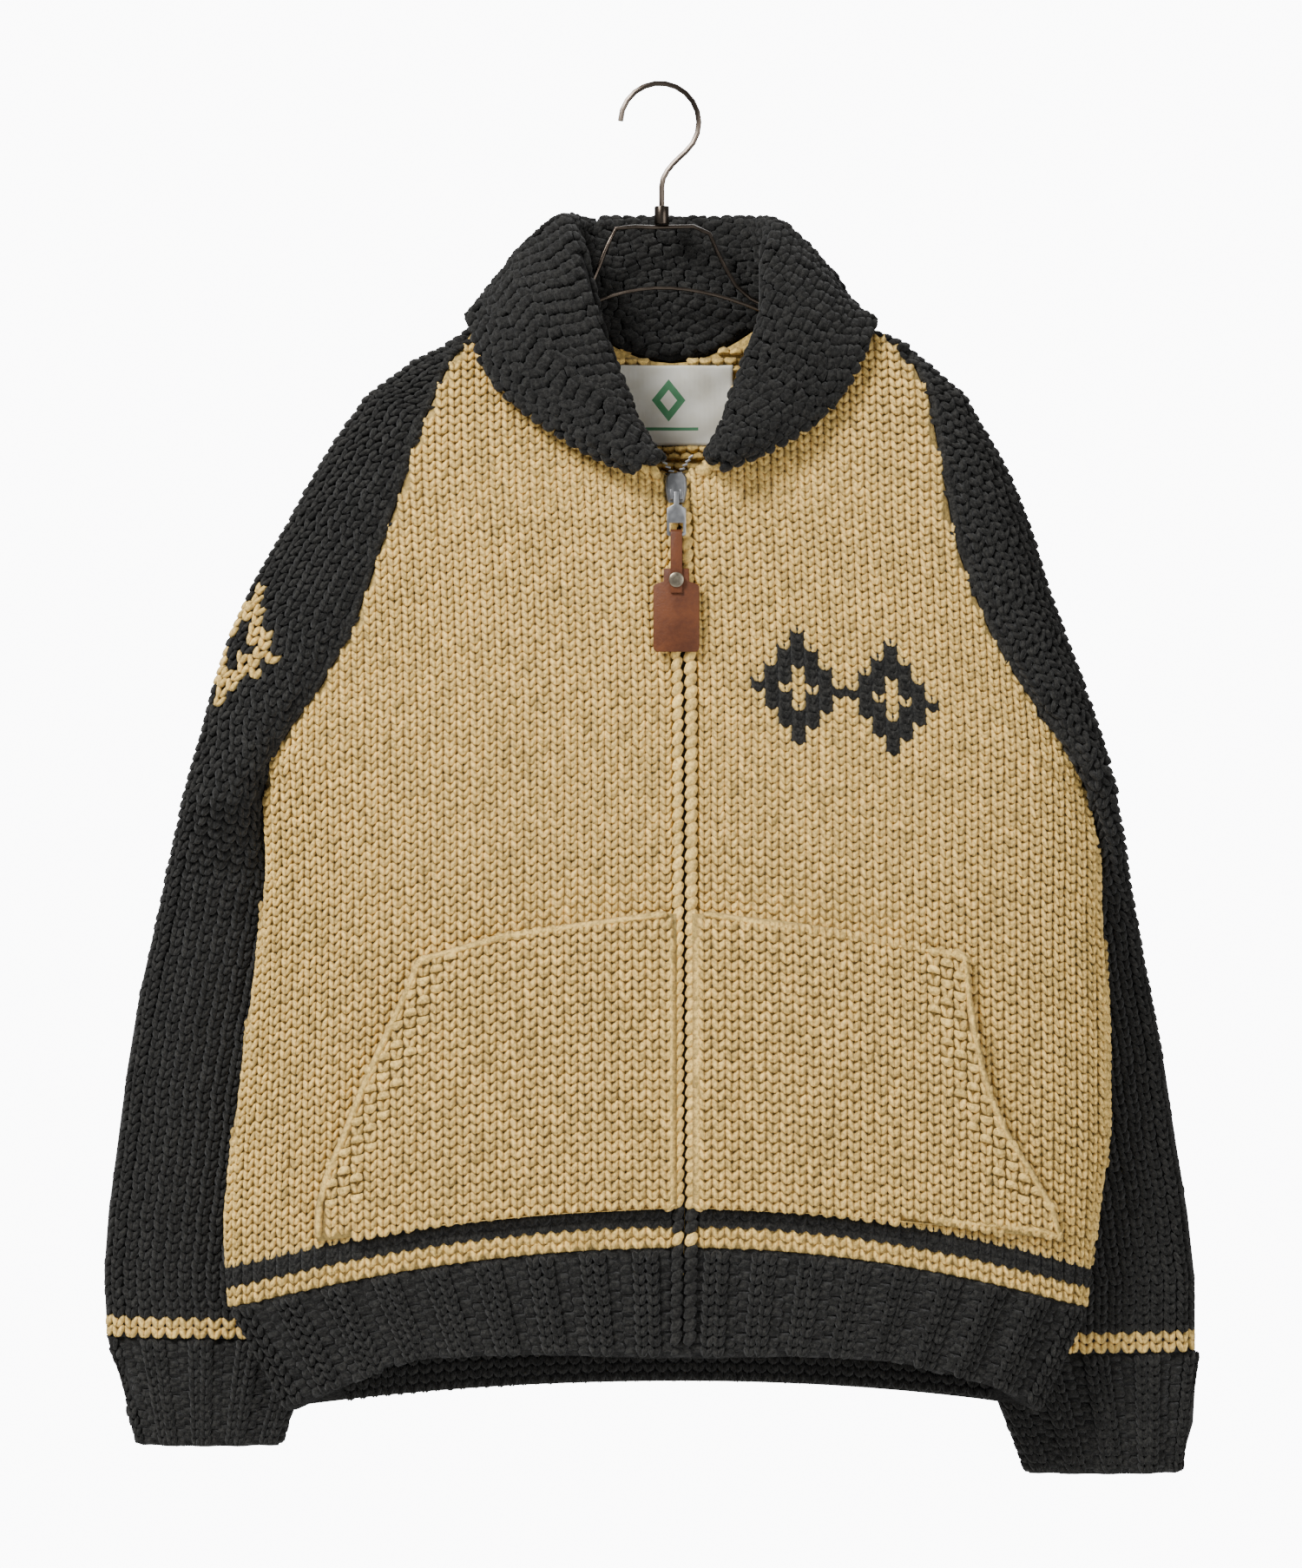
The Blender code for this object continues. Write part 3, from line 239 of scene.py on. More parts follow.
def grain(segments, rings, bow=0.0):
    """A closed grain a unit in half-length along Y, its ends blunt."""
    bpy.ops.mesh.primitive_uv_sphere_add(segments=segments, ring_count=rings, radius=1.0)
    bpy.ops.object.mode_set(mode="EDIT")
    bpy.ops.mesh.select_all(action="SELECT")
    bpy.ops.transform.rotate(
        value=math.pi / 2, orient_axis="X", center_override=(0.0, 0.0, 0.0),
    )
    bpy.ops.mesh.normals_make_consistent(inside=False)
    bpy.ops.object.mode_set(mode="OBJECT")
    corners, faces = shape_of(bpy.context.object)
    girth = np.hypot(corners[:, 0], corners[:, 2])
    full = np.where(girth > THINNEST, np.maximum(girth, THINNEST) ** -PLUMP, 1.0)
    corners[:, 0] *= full
    corners[:, 2] *= full
    corners[:, 0] += bow * (corners[:, 1] ** 2 - 0.5)
    return corners, faces


LEG = grain(4, 4)
PLAIN_LEG = grain(4, 3)
PURL = grain(4, 4, 0.55)
FINE_LEG, FINE_PURL = grain(6, 6), grain(6, 5, 0.5)


def knit_mesh(name, shape, centres, along, across, up, colours):
    """Copies of one grain, each at its centre on its own three half-axes. Painted shade darkens
    each grain's colour low down, between its neighbours, and at its ends."""
    corners, faces = shape
    count, size = len(centres), len(corners)
    x, y, z = corners.T[:, :, None]
    points = centres[:, None] + y * along[:, None] + x * across[:, None] + z * up[:, None]
    every = (np.concatenate(faces) + size * np.arange(count)[:, None]).ravel()
    sizes = np.tile([len(face) for face in faces], count)
    starts = np.concatenate(([0], np.cumsum(sizes)[:-1]))
    mesh = bpy.data.meshes.new(name)
    mesh.vertices.add(count * size)
    mesh.vertices.foreach_set("co", points.ravel())
    mesh.loops.add(len(every))
    mesh.loops.foreach_set("vertex_index", every.astype(np.int32))
    mesh.polygons.add(len(sizes))
    mesh.polygons.foreach_set("loop_start", starts.astype(np.int32))
    mesh.polygons.foreach_set("use_smooth", np.ones(len(sizes), dtype=bool))
    mesh.update(calc_edges=True)
    yarn = mesh.attributes.new("yarn", "FLOAT_COLOR", "POINT")
    shades = np.ones((count, size, 4))
    # painted shade: the colour darkens low on each grain, where its neighbours shadow it, and
    # towards its ends
    painted_shade = (0.60 + 0.42 * np.clip(z * 1.3, -0.4, 1.0)) * (1 - 0.30 * y ** 4)
    shades[:, :, :3] = colours[:, None] * painted_shade
    yarn.data.foreach_set("color", shades.ravel())
    mesh.materials.append(KNIT)
    return mesh


class Stitches:
    """Gathers grains, shape by shape, and joins them into one piece. A stitch's cell is its
    middle, its width and its height as vectors, and its normal."""

    def __init__(self):
        self.rows = {}

    def add(self, shape, centre, along, across, up, colour):
        rows = self.rows.setdefault(id(shape), (shape, []))[1]
        rows.append((centre, along, across, up, colour))

    def knit(self, cell, colour, shape=LEG):
        """The two legs of one knit stitch."""
        middle, wide, high, out = cell
        reach = np.linalg.norm(wide)
        for sign in (-1.0, 1.0):
            jitter = draw.normal(0.0, 0.00016, 3)
            centre = middle + sign * 0.235 * wide + out * reach * 0.02 + jitter
            along = 0.66 * high + sign * 0.165 * wide - out * reach * 0.11
            across = 0.275 * wide - sign * 0.05 * high
            up = out * reach * 0.27 * draw.normal(1.0, 0.05)
            self.add(shape, centre, along, across, up, colour)

    def purl(self, cell, colour, turned=1.0, shape=PURL):
        """The bump of one purl stitch, bowed upwards, or downwards if turned is -1."""
        middle, wide, high, out = cell
        reach = np.linalg.norm(high)
        centre = middle + out * 0.0004 + draw.normal(0.0, 0.0002, 3)
        self.add(shape, centre, 0.52 * wide, turned * 0.45 * high, out * reach * 0.36, colour)

    def float_under(self, cell, colour):
        """The strand behind a stitch of a second colour, which hides the cloth there."""
        middle, wide, high, out = cell
        for lift in (0.0, 0.5):
            spot = middle + lift * high
            self.add(PLAIN_LEG, spot, 0.60 * high, 0.66 * wide, 0.0020 * out, colour)

    def piece(self, name, slot="charcoal wool"):
        made = []
        for shape, rows in self.rows.values():
            columns = [np.array(column) for column in zip(*rows)]
            shades = np.clip(draw.normal(1.0, 0.10, (len(rows), 1)), 0.7, 1.3)
            columns[4] = columns[4] * shades
            made.append(knit_mesh(name, shape, *columns))
        mesh = made[0]
        if len(made) > 1:
            work = bmesh.new()
            for part in made:
                work.from_mesh(part)
            work.to_mesh(mesh)
            work.free()
        piece = added(name, mesh)
        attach(piece, "garment")
        return piece


# The knitted pieces: the cloth behind their stitches is the solid's own form, drawn in a
# little. Each is sewn or knitted to its neighbours, and there it keeps its full size.
FLAT = {  # what shows, laid flat: width, length, area
    "front_left": (0.30, 0.667, 0.155),
    "front_right": (0.29, 0.667, 0.149),
    "back": (0.583, 0.69, 0.316),
    "sleeve_left": (0.30, 0.75, 0.150),
    "sleeve_right": (0.25, 0.76, 0.122),
    "welt_front_left": (0.30, 0.085, 0.0225),
    "welt_front_right": (0.30, 0.085, 0.0205),
    "welt_back": (0.55, 0.08, 0.042),
    "cuff_left": (0.27, 0.085, 0.0195),
    "cuff_right": (0.27, 0.085, 0.0225),
    "collar": (0.60, 0.16, 0.071),
    "pocket_left": (0.235, 0.215, 0.041),
    "pocket_right": (0.235, 0.215, 0.041),
}
SEAM = 0.0012  # two pieces are sewn together where they are this near
BEHIND = 0.0012  # how far the cloth lies below the solid's face
JOINED = 0.00002  # corners this near are one
CLEAR = 0.4  # rays start this far in front of or behind the sweater
SWEEP, SWEEPS = 0.0012, 260  # a search for an edge: its step and its most steps
BODY_OUT, ARM_OUT = 0.31, 0.40  # X beyond the body's sides, and beyond the sleeves
LEAST, WIDEST, TALLEST = 0.7, 1.25, 1.3  # how far a stitch is drawn in or stretched


def tree_of(*nodes):
    """The faces of some solids, to be met by rays."""
    points, faces = [], []
    for mesh in (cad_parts[node].data for node in nodes):
        base = len(points)
        points += [vertex.co for vertex in mesh.vertices]
        faces += [[base + i for i in face.vertices] for face in mesh.polygons]
    return BVHTree.FromPolygons(points, faces)


solids = {node: tree_of(node) for node in (*FLAT, "neck_label")}


def face_at(solid, facing, x, z):
    """Where a solid's front (facing -1) or back (1) is met at x and z, and its normal."""
    start, way = Vector((x, CLEAR * facing, z)), Vector((0.0, -facing, 0.0))
    spot, normal, _, _ = solid.ray_cast(start, way)
    return (None, None) if spot is None else (np.array(spot), np.array(normal))


def outermost(solid, facing, z, start, inward):
    """The x, from outside, at which a solid is first met at a height."""
    x = start
    for _ in range(SWEEPS):
        if face_at(solid, facing, x, z)[0] is not None:
            return x
        x += inward * SWEEP
    return None


def past_edge(rim, solid, facing, z, start, inward, step):
    """The spot of a solid's face a step past the edge at which a rim is first met."""
    x = outermost(rim, facing, z, start, inward)
    return None if x is None else face_at(solid, facing, x + step, z)[0]


def under(cover, spot, margin):
    """Whether a stitch is well hidden under another solid in front of it."""
    return all(
        face_at(cover, -1, spot[0] + dx, spot[2] + dz)[0] is not None
        for dx, dz in ((margin, 0), (-margin, 0), (0, margin), (0, -margin))
    )


def met(spots):
    return [spot for spot in spots if spot is not None]


def traced(solid, facing, xs, zs):
    return met(face_at(solid, facing, x, z)[0] for x, z in zip(xs, zs))


def reach_of(line):
    """How far along a line each of its points lies."""
    return np.concatenate(([0.0], np.cumsum(np.linalg.norm(np.diff(line, axis=0), axis=1))))


def at_reach(line, reach, goal):
    """The point of a line at a distance along it, or the points at several."""
    return np.stack([np.interp(goal, reach, column) for column in np.array(line).T], axis=-1)


def even(line, count):
    """A line of points at count + 1 even spots along it."""
    reach = reach_of(line)
    return at_reach(line, reach, np.linspace(0.0, reach[-1], count + 1))


def chain(line, pitch):
    """Spots on a line, a pitch apart, each with the ones before and after it."""
    spots = even(line, int(reach_of(line)[-1] / pitch))
    return zip(spots, spots[1:], spots[2:])


def spaced(points, normals, offset, pitch):
    """Stitch middles along a row, pitch apart, counted from offset before its start."""
    reach = offset + reach_of(points)
    found = {}
    number = max(math.ceil(reach[0] / pitch - 0.5), 0)
    while (number + 0.5) * pitch <= reach[-1]:
        goal = (number + 0.5) * pitch
        found[number] = at_reach(points, reach, goal), at_reach(normals, reach, goal)
        number += 1
    return found


def step_between(before, spot, after):
    """A stitch's width or height, from its neighbours on both sides or on one."""
    if not before and not after:
        return None
    ends = (before or (spot,))[0], (after or (spot,))[0]
    return (ends[1] - ends[0]) / (2 if before and after else 1)


def cells_of(rows, pitch, height):
    """Each stitch's middle, width, height and normal, from its neighbours."""
    cells = {}
    for r, row in rows.items():
        for c, (spot, turn) in row.items():
            wide = step_between(row.get(c - 1), spot, row.get(c + 1))
            high = step_between(rows.get(r - 1, {}).get(c), spot, rows.get(r + 1, {}).get(c))
            if wide is None or high is None:
                continue
            wide *= min(WIDEST, max(LEAST, pitch / np.linalg.norm(wide)))
            high *= min(TALLEST, max(LEAST, height / np.linalg.norm(high)))
            out = np.cross(wide, high)
            out /= np.linalg.norm(out)
            if np.dot(out, turn) < 0:
                out = -out
            cells[r, c] = (spot, wide, high, out)
    return cells


def copy_of(name, node, gap=JOINED):
    """A solid's form as a new piece, its corners joined, open for editing."""
    piece = added(name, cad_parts[node].data.copy())
    bpy.ops.object.select_all(action="DESELECT")
    piece.select_set(True)
    bpy.context.view_layer.objects.active = piece
    bpy.ops.object.mode_set(mode="EDIT")
    bpy.ops.mesh.select_all(action="SELECT")
    bpy.ops.mesh.remove_doubles(threshold=gap)
    return piece


def dress(piece, angle, material, body, node):
    """Shades the active piece smooth below an angle and puts it in place of a solid."""
    bpy.ops.object.shade_smooth_by_angle(angle=math.radians(angle))
    piece.data.materials.clear()
    piece.data.materials.append(material)
    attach(piece, body)
    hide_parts(node)


def cloth(node, colour, inset=BEHIND, sideways=0.0):
    """The cloth behind the stitches, such as front_cloth_left for front_left. It stays whole
    at its seams, and thins sideways only where that is asked for."""
    piece = copy_of("_cloth_".join(node.split("_", 1)) if "_" in node else node + "_cloth", node)
    bpy.ops.object.mode_set(mode="OBJECT")
    mesh = piece.data
    neighbours = tree_of(*(other for other in FLAT if other != node))
    for vertex, normal in [(vertex, vertex.normal.copy()) for vertex in mesh.vertices]:
        if neighbours.find_nearest(vertex.co, SEAM)[0] is None:
            vertex.co -= inset * Vector((normal.x * sideways, normal.y, normal.z * sideways))
    yarn = mesh.attributes.new("yarn", "FLOAT_COLOR", "POINT")
    yarn.data.foreach_set("color", np.tile([*colour, 1.0], len(mesh.vertices)))
    # The cloth is dressed in the wool darkened as painted shadow.
    dress(piece, 60, BACKING_IN_PAINTED_SHADOW, "garment", node)


def upright(spot, wide, high, normal):
    """A stitch's cell where the rows run level."""
    return spot, np.array((wide, 0.0, 0.0)), np.array((0.0, 0.0, high)), normal


# The fronts and the back: stockinette, knitted from the welts up to the shoulders. The
# rows hang lower at the sides than in the middle. A charcoal and a cream stripe end each
# panel at its welt, and a small charcoal diamond pattern is knitted into one front.
STITCH, ROW = 0.0088, 0.0062
BACK_STITCH, BACK_ROW = 0.0092, 0.0065
HEM, TOP = -0.803, -0.138
MIDDLE_Z = (-0.835, -0.733, -0.4, -0.3, -0.257, -0.138)  # the front edge's course
MIDDLE_X = (0.0143, 0.016, 0.0155, 0.0125, 0.0105, 0.008)
LIFT_Z = (  # how far a row's middle lies above its sides
    -0.803, -0.745, -0.65, -0.6, -0.55, -0.49, -0.45, -0.395, -0.3, -0.262, -0.23, -0.184, -0.138,
)
LIFT = (0.044, 0.046, 0.05, 0.052, 0.05, 0.042, 0.036, 0.031, 0.022, 0.013, 0.008, 0.004, 0.0)
DIP_Z = (-0.275, -0.248, -0.23, -0.206, -0.184, -0.161, -0.138)  # the back's neck
DIP = (0.0, 0.003, 0.008, 0.016, 0.025, 0.034, 0.042)
BACK_RISE, BACK_RISE_ABOVE, ARMPIT_Z, YOKE = 0.015, 0.010, -0.47, 0.332  # the back's rows
STRIPE_ROWS = (2, 3)
DIAMOND = (
    "...X...", "...X...", "..XXX..", "..XXX..", ".XX.XX.", ".XX.XX.", "XX...XX",
    ".XX.XX.", ".XX.XX.", "..XXX..", "..XXX..", "...X...", "...X...",
)
DIAMOND_ROW, DIAMOND_COLUMN = 54, 4
CORD = {-1: 0.0072, 1: 0.0088}  # the widths of the selvedge cords beside the zip
POCKET_LAP, COLLAR_LAP = 0.012, 0.014  # stitches end this far in under what covers them
SIDE_SEAM_Z, WELT_SEAM_Z = (-0.792, -0.466, 0.003), (-0.866, -0.784, 0.003)
# The back's purl side, where it shows in the neck: its first stitch, pitches and count.
INSIDE_X, INSIDE_Z, INSIDE_STITCH, INSIDE_ROW, INSIDE_COUNT = -0.064, -0.266, 0.0082, 0.0058, 19


def middle_x(z):
    return float(np.interp(z, MIDDLE_Z, MIDDLE_X))


def front_row_z(level, share):
    return level + float(np.interp(level, LIFT_Z, LIFT)) * (1 - share * share)


def back_row_z(level, share):
    flat = max(1 - share * share, 0.0)
    above = BACK_RISE_ABOVE * min((TOP - level) / YOKE, 1.0)
    rise = BACK_RISE if level < ARMPIT_Z else above
    return level + rise * flat - float(np.interp(level, DIP_Z, DIP)) * flat ** 1.5


def body_rows(solid, facing, side, row_z, pitch, row, start, samples=70, rim=None):
    """The stitches' places on half of a panel, counted from the sweater's middle. The rim
    is the panel whose rows a piece sewn on it follows."""
    rows = {}
    for r in range(int((TOP - HEM) / row)):
        level = HEM + (r + 0.5) * row
        edge = outermost(rim or solid, facing, level, BODY_OUT * side, -side)
        if edge is None:
            continue
        middle = middle_x(row_z(level, 0.0))
        points, normals = [], []
        for k in range(samples + 1):
            share = math.sin(math.pi / 2 * k / samples)
            x = middle + share * (edge - middle)
            spot, normal = face_at(solid, facing, x, row_z(level, share))
            if spot is not None:
                points.append(spot)
                normals.append(normal)
        if len(points) > 3:
            rows[r] = spaced(points, normals, abs(points[0][0] - middle) - start, pitch)
    return rows


def stripe(r):
    return CHARCOAL if r in STRIPE_ROWS else CREAM


def in_diamond(r, c, repeats=1):
    """Whether a stitch belongs to a line of diamonds, counted from its lower corner."""
    across = len(DIAMOND[0])
    inside = 0 <= r < len(DIAMOND) and 0 <= c < repeats * across
    return inside and DIAMOND[r][c % across] == "X"


for side, word in SIDES:
    rows = body_rows(solids[f"front_{word}"], -1, side, front_row_z, STITCH, ROW, CORD[side])
    stitches = Stitches()
    pocket, collar = solids[f"pocket_{word}"], solids["collar"]
    for (r, c), cell in cells_of(rows, STITCH, ROW).items():
        if under(pocket, cell[0], POCKET_LAP) or under(collar, cell[0], COLLAR_LAP):
            continue
        colour = stripe(r)
        if side > 0 and in_diamond(r - DIAMOND_ROW, c - DIAMOND_COLUMN, 2):
            colour = CHARCOAL
        if colour is CHARCOAL:
            stitches.float_under(cell, colour)
        stitches.knit(cell, colour)
    piece = stitches.piece(f"front_stitches_{word}", "cream wool")
    cloth(f"front_{word}", CREAM)


def side_seam(stitches, panel, behind, side, heights, colour_of):
    """The chain of stitches that joins a front's edge to the back's."""
    seam = []
    for z in np.arange(*heights):
        x = outermost(panel, -1, z, BODY_OUT * side, -side)
        if x is not None:
            x -= side * 0.0010
            ends = met((face_at(panel, -1, x, z)[0], face_at(behind, 1, x, z)[0]))
            if len(ends) == 2:
                seam.append(sum(ends) / 2 + (side * 0.0004, 0.0, 0.0))
    for before, spot, after in chain(seam, ROW):
        along = (after - before) * 0.46 + (0.0, 0.0006, 0.0)
        colour = colour_of(int((spot[2] - seam[0][2]) / ROW))
        stitches.add(LEG, spot, along, (0.0, 0.0036, 0.0), (side * 0.0022, 0.0, 0.0), colour)


stitches = Stitches()
for side, word in SIDES:
    rows = body_rows(solids["back"], 1, side, back_row_z, BACK_STITCH, BACK_ROW, 0.0)
    for (r, c), cell in cells_of(rows, BACK_STITCH, BACK_ROW).items():
        if stripe(r) is CHARCOAL:
            stitches.float_under(cell, CHARCOAL)
        stitches.knit(cell, stripe(r), PLAIN_LEG)
for side, word in SIDES:
    side_seam(stitches, solids[f"front_{word}"], solids["back"], side, SIDE_SEAM_Z, stripe)
piece = stitches.piece("back_stitches", "cream wool")
inside = Stitches()
for r in range(INSIDE_COUNT):
    z = INSIDE_Z + r * INSIDE_ROW
    for c in range(INSIDE_COUNT):
        x = INSIDE_X + (c + 0.5 * (r % 2)) * INSIDE_STITCH
        spot, normal = face_at(solids["back"], -1, x, z)
        if spot is None or under(solids["neck_label"], (x, 0.0, z), 0.001):
            continue
        if under(solids["collar"], (x, 0.0, z), 0.012):
            continue
        inside.purl(upright(spot, STITCH, ROW, normal), CREAM, 1.0 if r % 2 else -1.0)
inner = inside.piece("back_purl_side", "cream wool")
cloth("back", CREAM)

# The sleeves: stockinette in charcoal, worked down from the neck, with a cream stripe
# above each cuff and a cream diamond on the outer side of one of them.
SLEEVE_STITCH, SLEEVE_ROW = 0.0094, 0.0066
TILT_Z = (-0.83, -0.65, -0.55, -0.45, -0.30, -0.138)  # how steeply the rows fall
TILT = (0.0, 0.10, 0.20, 0.32, 0.45, 0.5)
SLEEVE_BOTTOM = {-1: -0.828, 1: -0.838}
SLEEVE_WIDTH = 0.17
SLEEVE_STRIPE = 2  # its rows, from the cuff up
SLEEVE_DIAMOND_Z, SLEEVE_DIAMOND_COLUMN = (-0.405, -0.315), -5
RAGLAN_Z, RAGLAN_STITCH = (-0.458, -0.150, 0.004), 0.0056
UNDERARM_Z, UNDERARM_X, UNDERARM_Y = (-0.488, -0.452, 0.003), 0.20, 0.0040  # X inside the body


def sleeve_rows(solid, side, samples=64):
    """The stitches' places round a sleeve, from its outer edge: 0 and up behind, below 0
    in front. Also each row's height at that edge."""
    bottom = SLEEVE_BOTTOM[side]
    heights = np.arange(bottom + 0.001, TOP - 0.002, 0.003)
    edges = [(outermost(solid, -1, z, ARM_OUT * side, -side), z) for z in heights]
    line = np.array([(x, z) for x, z in edges if x is not None])
    reach = reach_of(line)
    rows, levels = {}, {}
    for r in range(int(reach[-1] / SLEEVE_ROW)):
        edge, level = at_reach(line, reach, (r + 0.5) * SLEEVE_ROW)
        tilt = float(np.interp(level, TILT_Z, TILT))
        row = {}
        for facing in (-1, 1):
            points, normals = [], []
            for k in range(samples + 1):
                inward = SLEEVE_WIDTH * (1 - math.cos(math.pi / 2 * k / samples))
                z = level - tilt * inward
                spot, normal = face_at(solid, facing, edge - side * (inward + 0.0002), z)
                if spot is None or z < bottom + 0.001:
                    if points:
                        break
                    continue
                points.append(spot)
                normals.append(normal)
            if len(points) > 3:
                for c, place in spaced(points, normals, 0.0, SLEEVE_STITCH).items():
                    row[c if facing > 0 else -1 - c] = place
        rows[r], levels[r] = row, level
    return rows, levels


def beside(along, facing, width):
    """The half-axis across a chain's stitch, level with the cloth."""
    across = np.cross(along, (0, facing, 0))
    return across * (width / np.linalg.norm(across))


def raglan(stitches, sleeve, panel, facing, side):
    """The sleeve's edge stitches, a chain that runs up its seam with a panel."""
    edge = met(
        past_edge(panel, sleeve, facing, z, BODY_OUT * side, -side, side * 0.0042)
        for z in np.arange(*RAGLAN_Z)
    )
    edge = [spot for spot in edge if not under(solids["collar"], spot, COLLAR_LAP)]
    for before, spot, after in chain(edge, RAGLAN_STITCH):
        along = (after - before) * 0.42
        across, up = beside(along, facing, 0.0030), (0.0, facing * 0.0024, 0.0)
        stitches.add(FINE_LEG, spot, along + across * 0.25, across, up, CHARCOAL)


def underarm(stitches, sleeve, panel, side):
    """The few stitches that close the corner between a sleeve and the body."""
    along, across, up = (0.0, 0.0, 0.0034), (0.0, 0.0045, 0.0), (side * 0.0026, 0.0, 0.0)
    for z in np.arange(*UNDERARM_Z):
        ends = (
            outermost(panel, -1, z, BODY_OUT * side, -side),
            outermost(sleeve, -1, z, UNDERARM_X * side, side),
        )
        if None not in ends:
            spot = (sum(ends) / 2, UNDERARM_Y, z)
            stitches.add(LEG, spot, along, across, up, CHARCOAL)


for side, word in SIDES:
    solid, front = solids[f"sleeve_{word}"], solids[f"front_{word}"]
    rows, levels = sleeve_rows(solid, side)
    low, high = SLEEVE_DIAMOND_Z
    first = min(r for r, level in levels.items() if low < level < high)
    stitches = Stitches()
    cells = cells_of(rows, SLEEVE_STITCH, SLEEVE_ROW)
    for (r, c), cell in cells.items():
        if under(solids["collar"], cell[0], COLLAR_LAP) and c < 0:
            continue
        if r == 0 and (1, c) not in cells:
            continue
        colour = CREAM if r < SLEEVE_STRIPE else CHARCOAL
        if side < 0 and in_diamond(r - first, c - SLEEVE_DIAMOND_COLUMN):
            colour = CREAM
        stitches.knit(cell, colour, LEG if c < 1 else PLAIN_LEG)
    raglan(stitches, solid, front, -1, side)
    raglan(stitches, solid, solids["back"], 1, side)
    underarm(stitches, solid, front, side)
    piece = stitches.piece(f"sleeve_stitches_{word}")
    cloth(f"sleeve_{word}", CHARCOAL)


# The welts and cuffs: ribs of two knit and two purl stitches in charcoal, knitted on to
# the panels and bound off loosely, so the front's edge waves and the back's hangs lower.
RIB_STITCH, RIB_ROW = 0.00825, 0.0062
WELT_END = -0.871
WELT_TOP_X, WELT_END_X = {-1: -0.2823, 1: 0.281}, {-1: -0.246, 1: 0.250}
TOP_IN, END_IN = 0.0025, 0.0015  # how far the ribs stay within a piece's edges
FRONT_HEM_X = (-0.246, -0.21, -0.158, -0.08, 0.015, 0.081, 0.149, 0.217, 0.25)
FRONT_HEM_Z = (-0.871, -0.855, -0.834, -0.830, -0.832, -0.831, -0.835, -0.853, -0.871)
# Inside the back welt, which shows under the front's edge: rows, columns and places.
INNER_ROWS, INNER_COLUMNS, INNER_X, INNER_RISE = 8, 52, -0.205, 0.004
INNER_MIDDLE, INNER_HALF = 0.014, 0.25
CUFF_Z = {-1: (-0.900, -0.8283), 1: (-0.9185, -0.8383)}
CUFF_X, CUFF_SAMPLES = 0.19, 80  # X between the body and the cuffs


def rows_between(solid, facing, bottom, top, steps):
    """Stitch places on a solid, in rows that pass evenly from one edge to the other."""
    rows = {}
    for i in range(steps):
        line = bottom + (top - bottom) * (i + 0.5) / steps
        found = [face_at(solid, facing, x, z) for x, _, z in line]
        rows[i] = {j: place for j, place in enumerate(found) if place[0] is not None}
    return rows


def welt_rows(solid, facing, top, bottom):
    """Stitch places between a welt's two edges, in whole ribs from its side."""
    count = 4 * round(reach_of(top)[-1] / (4 * RIB_STITCH))
    top, bottom = even(top, count), even(bottom, count)
    height = float(np.median(np.linalg.norm(top - bottom, axis=1)))
    return rows_between(solid, facing, bottom, top, round(height / RIB_ROW))


def rib(rows, stitches, shape):
    """Ribs of two and two. A purl's bump is low and wide, and staggered from the next one."""
    for (i, j), (spot, wide, high, out) in cells_of(rows, RIB_STITCH, RIB_ROW).items():
        if j % 4 in (1, 2):
            stitches.knit((spot + 0.0007 * out, wide, high, out), CHARCOAL, shape)
        else:
            spot = spot + (0.25 if j % 2 else -0.25) * high - 0.0009 * out
            bump = (spot, 1.08 * wide, 1.30 * high, 0.7 * out)
            stitches.purl(bump, CHARCOAL, 1.0 if i % 2 else -1.0)
    return stitches


shares = [math.sin(math.pi / 2 * k / 160) for k in range(160, -1, -1)]
for side, word in SIDES:
    solid = solids[f"welt_front_{word}"]
    high, low = middle_x(HEM), middle_x(WELT_END)
    top = traced(
        solid, -1, [high + share * (WELT_TOP_X[side] - high) for share in shares],
        [front_row_z(HEM, share) - TOP_IN for share in shares],
    )
    xs = [low + share * (WELT_END_X[side] - low) for share in shares]
    zs = [float(np.interp(x, FRONT_HEM_X, FRONT_HEM_Z)) + END_IN for x in xs]
    stitches = rib(welt_rows(solid, -1, top, traced(solid, -1, xs, zs)), Stitches(), LEG)
    piece = stitches.piece(f"welt_stitches_{word}")
    cloth(f"welt_front_{word}", CHARCOAL)


def across_back(level, rise, ends):
    """One of the back welt's edges, from side to side."""
    middle = middle_x(level)
    both = [-share for share in shares] + shares[::-1][1:]
    return traced(
        solids["welt_back"], 1,
        [middle + abs(share) * (ends[-1 if share < 0 else 1] - middle) for share in both],
        [back_row_z(level, share) + rise for share in both],
    )


solid = solids["welt_back"]
top = across_back(HEM, -TOP_IN, WELT_TOP_X)
bottom = across_back(WELT_END, END_IN, WELT_END_X)
stitches = rib(welt_rows(solid, 1, top, bottom), Stitches(), PLAIN_LEG)
for side, word in SIDES:
    front = solids[f"welt_front_{word}"]
    side_seam(stitches, front, solid, side, WELT_SEAM_Z, lambda row: CHARCOAL)
outer = stitches.piece("welt_stitches_back")
stitches = Stitches()
for i in range(INNER_ROWS):
    for j in range(INNER_COLUMNS):
        x = INNER_X + j * RIB_STITCH
        edge = back_row_z(WELT_END, (x - INNER_MIDDLE) / INNER_HALF)
        spot, normal = face_at(solid, -1, x, edge + INNER_RISE + i * RIB_ROW)
        if spot is not None:
            stitches.knit(upright(spot, RIB_STITCH, RIB_ROW, normal), CHARCOAL, PLAIN_LEG)
inner = stitches.piece("welt_inner_stitches_back")
cloth("welt_back", CHARCOAL)

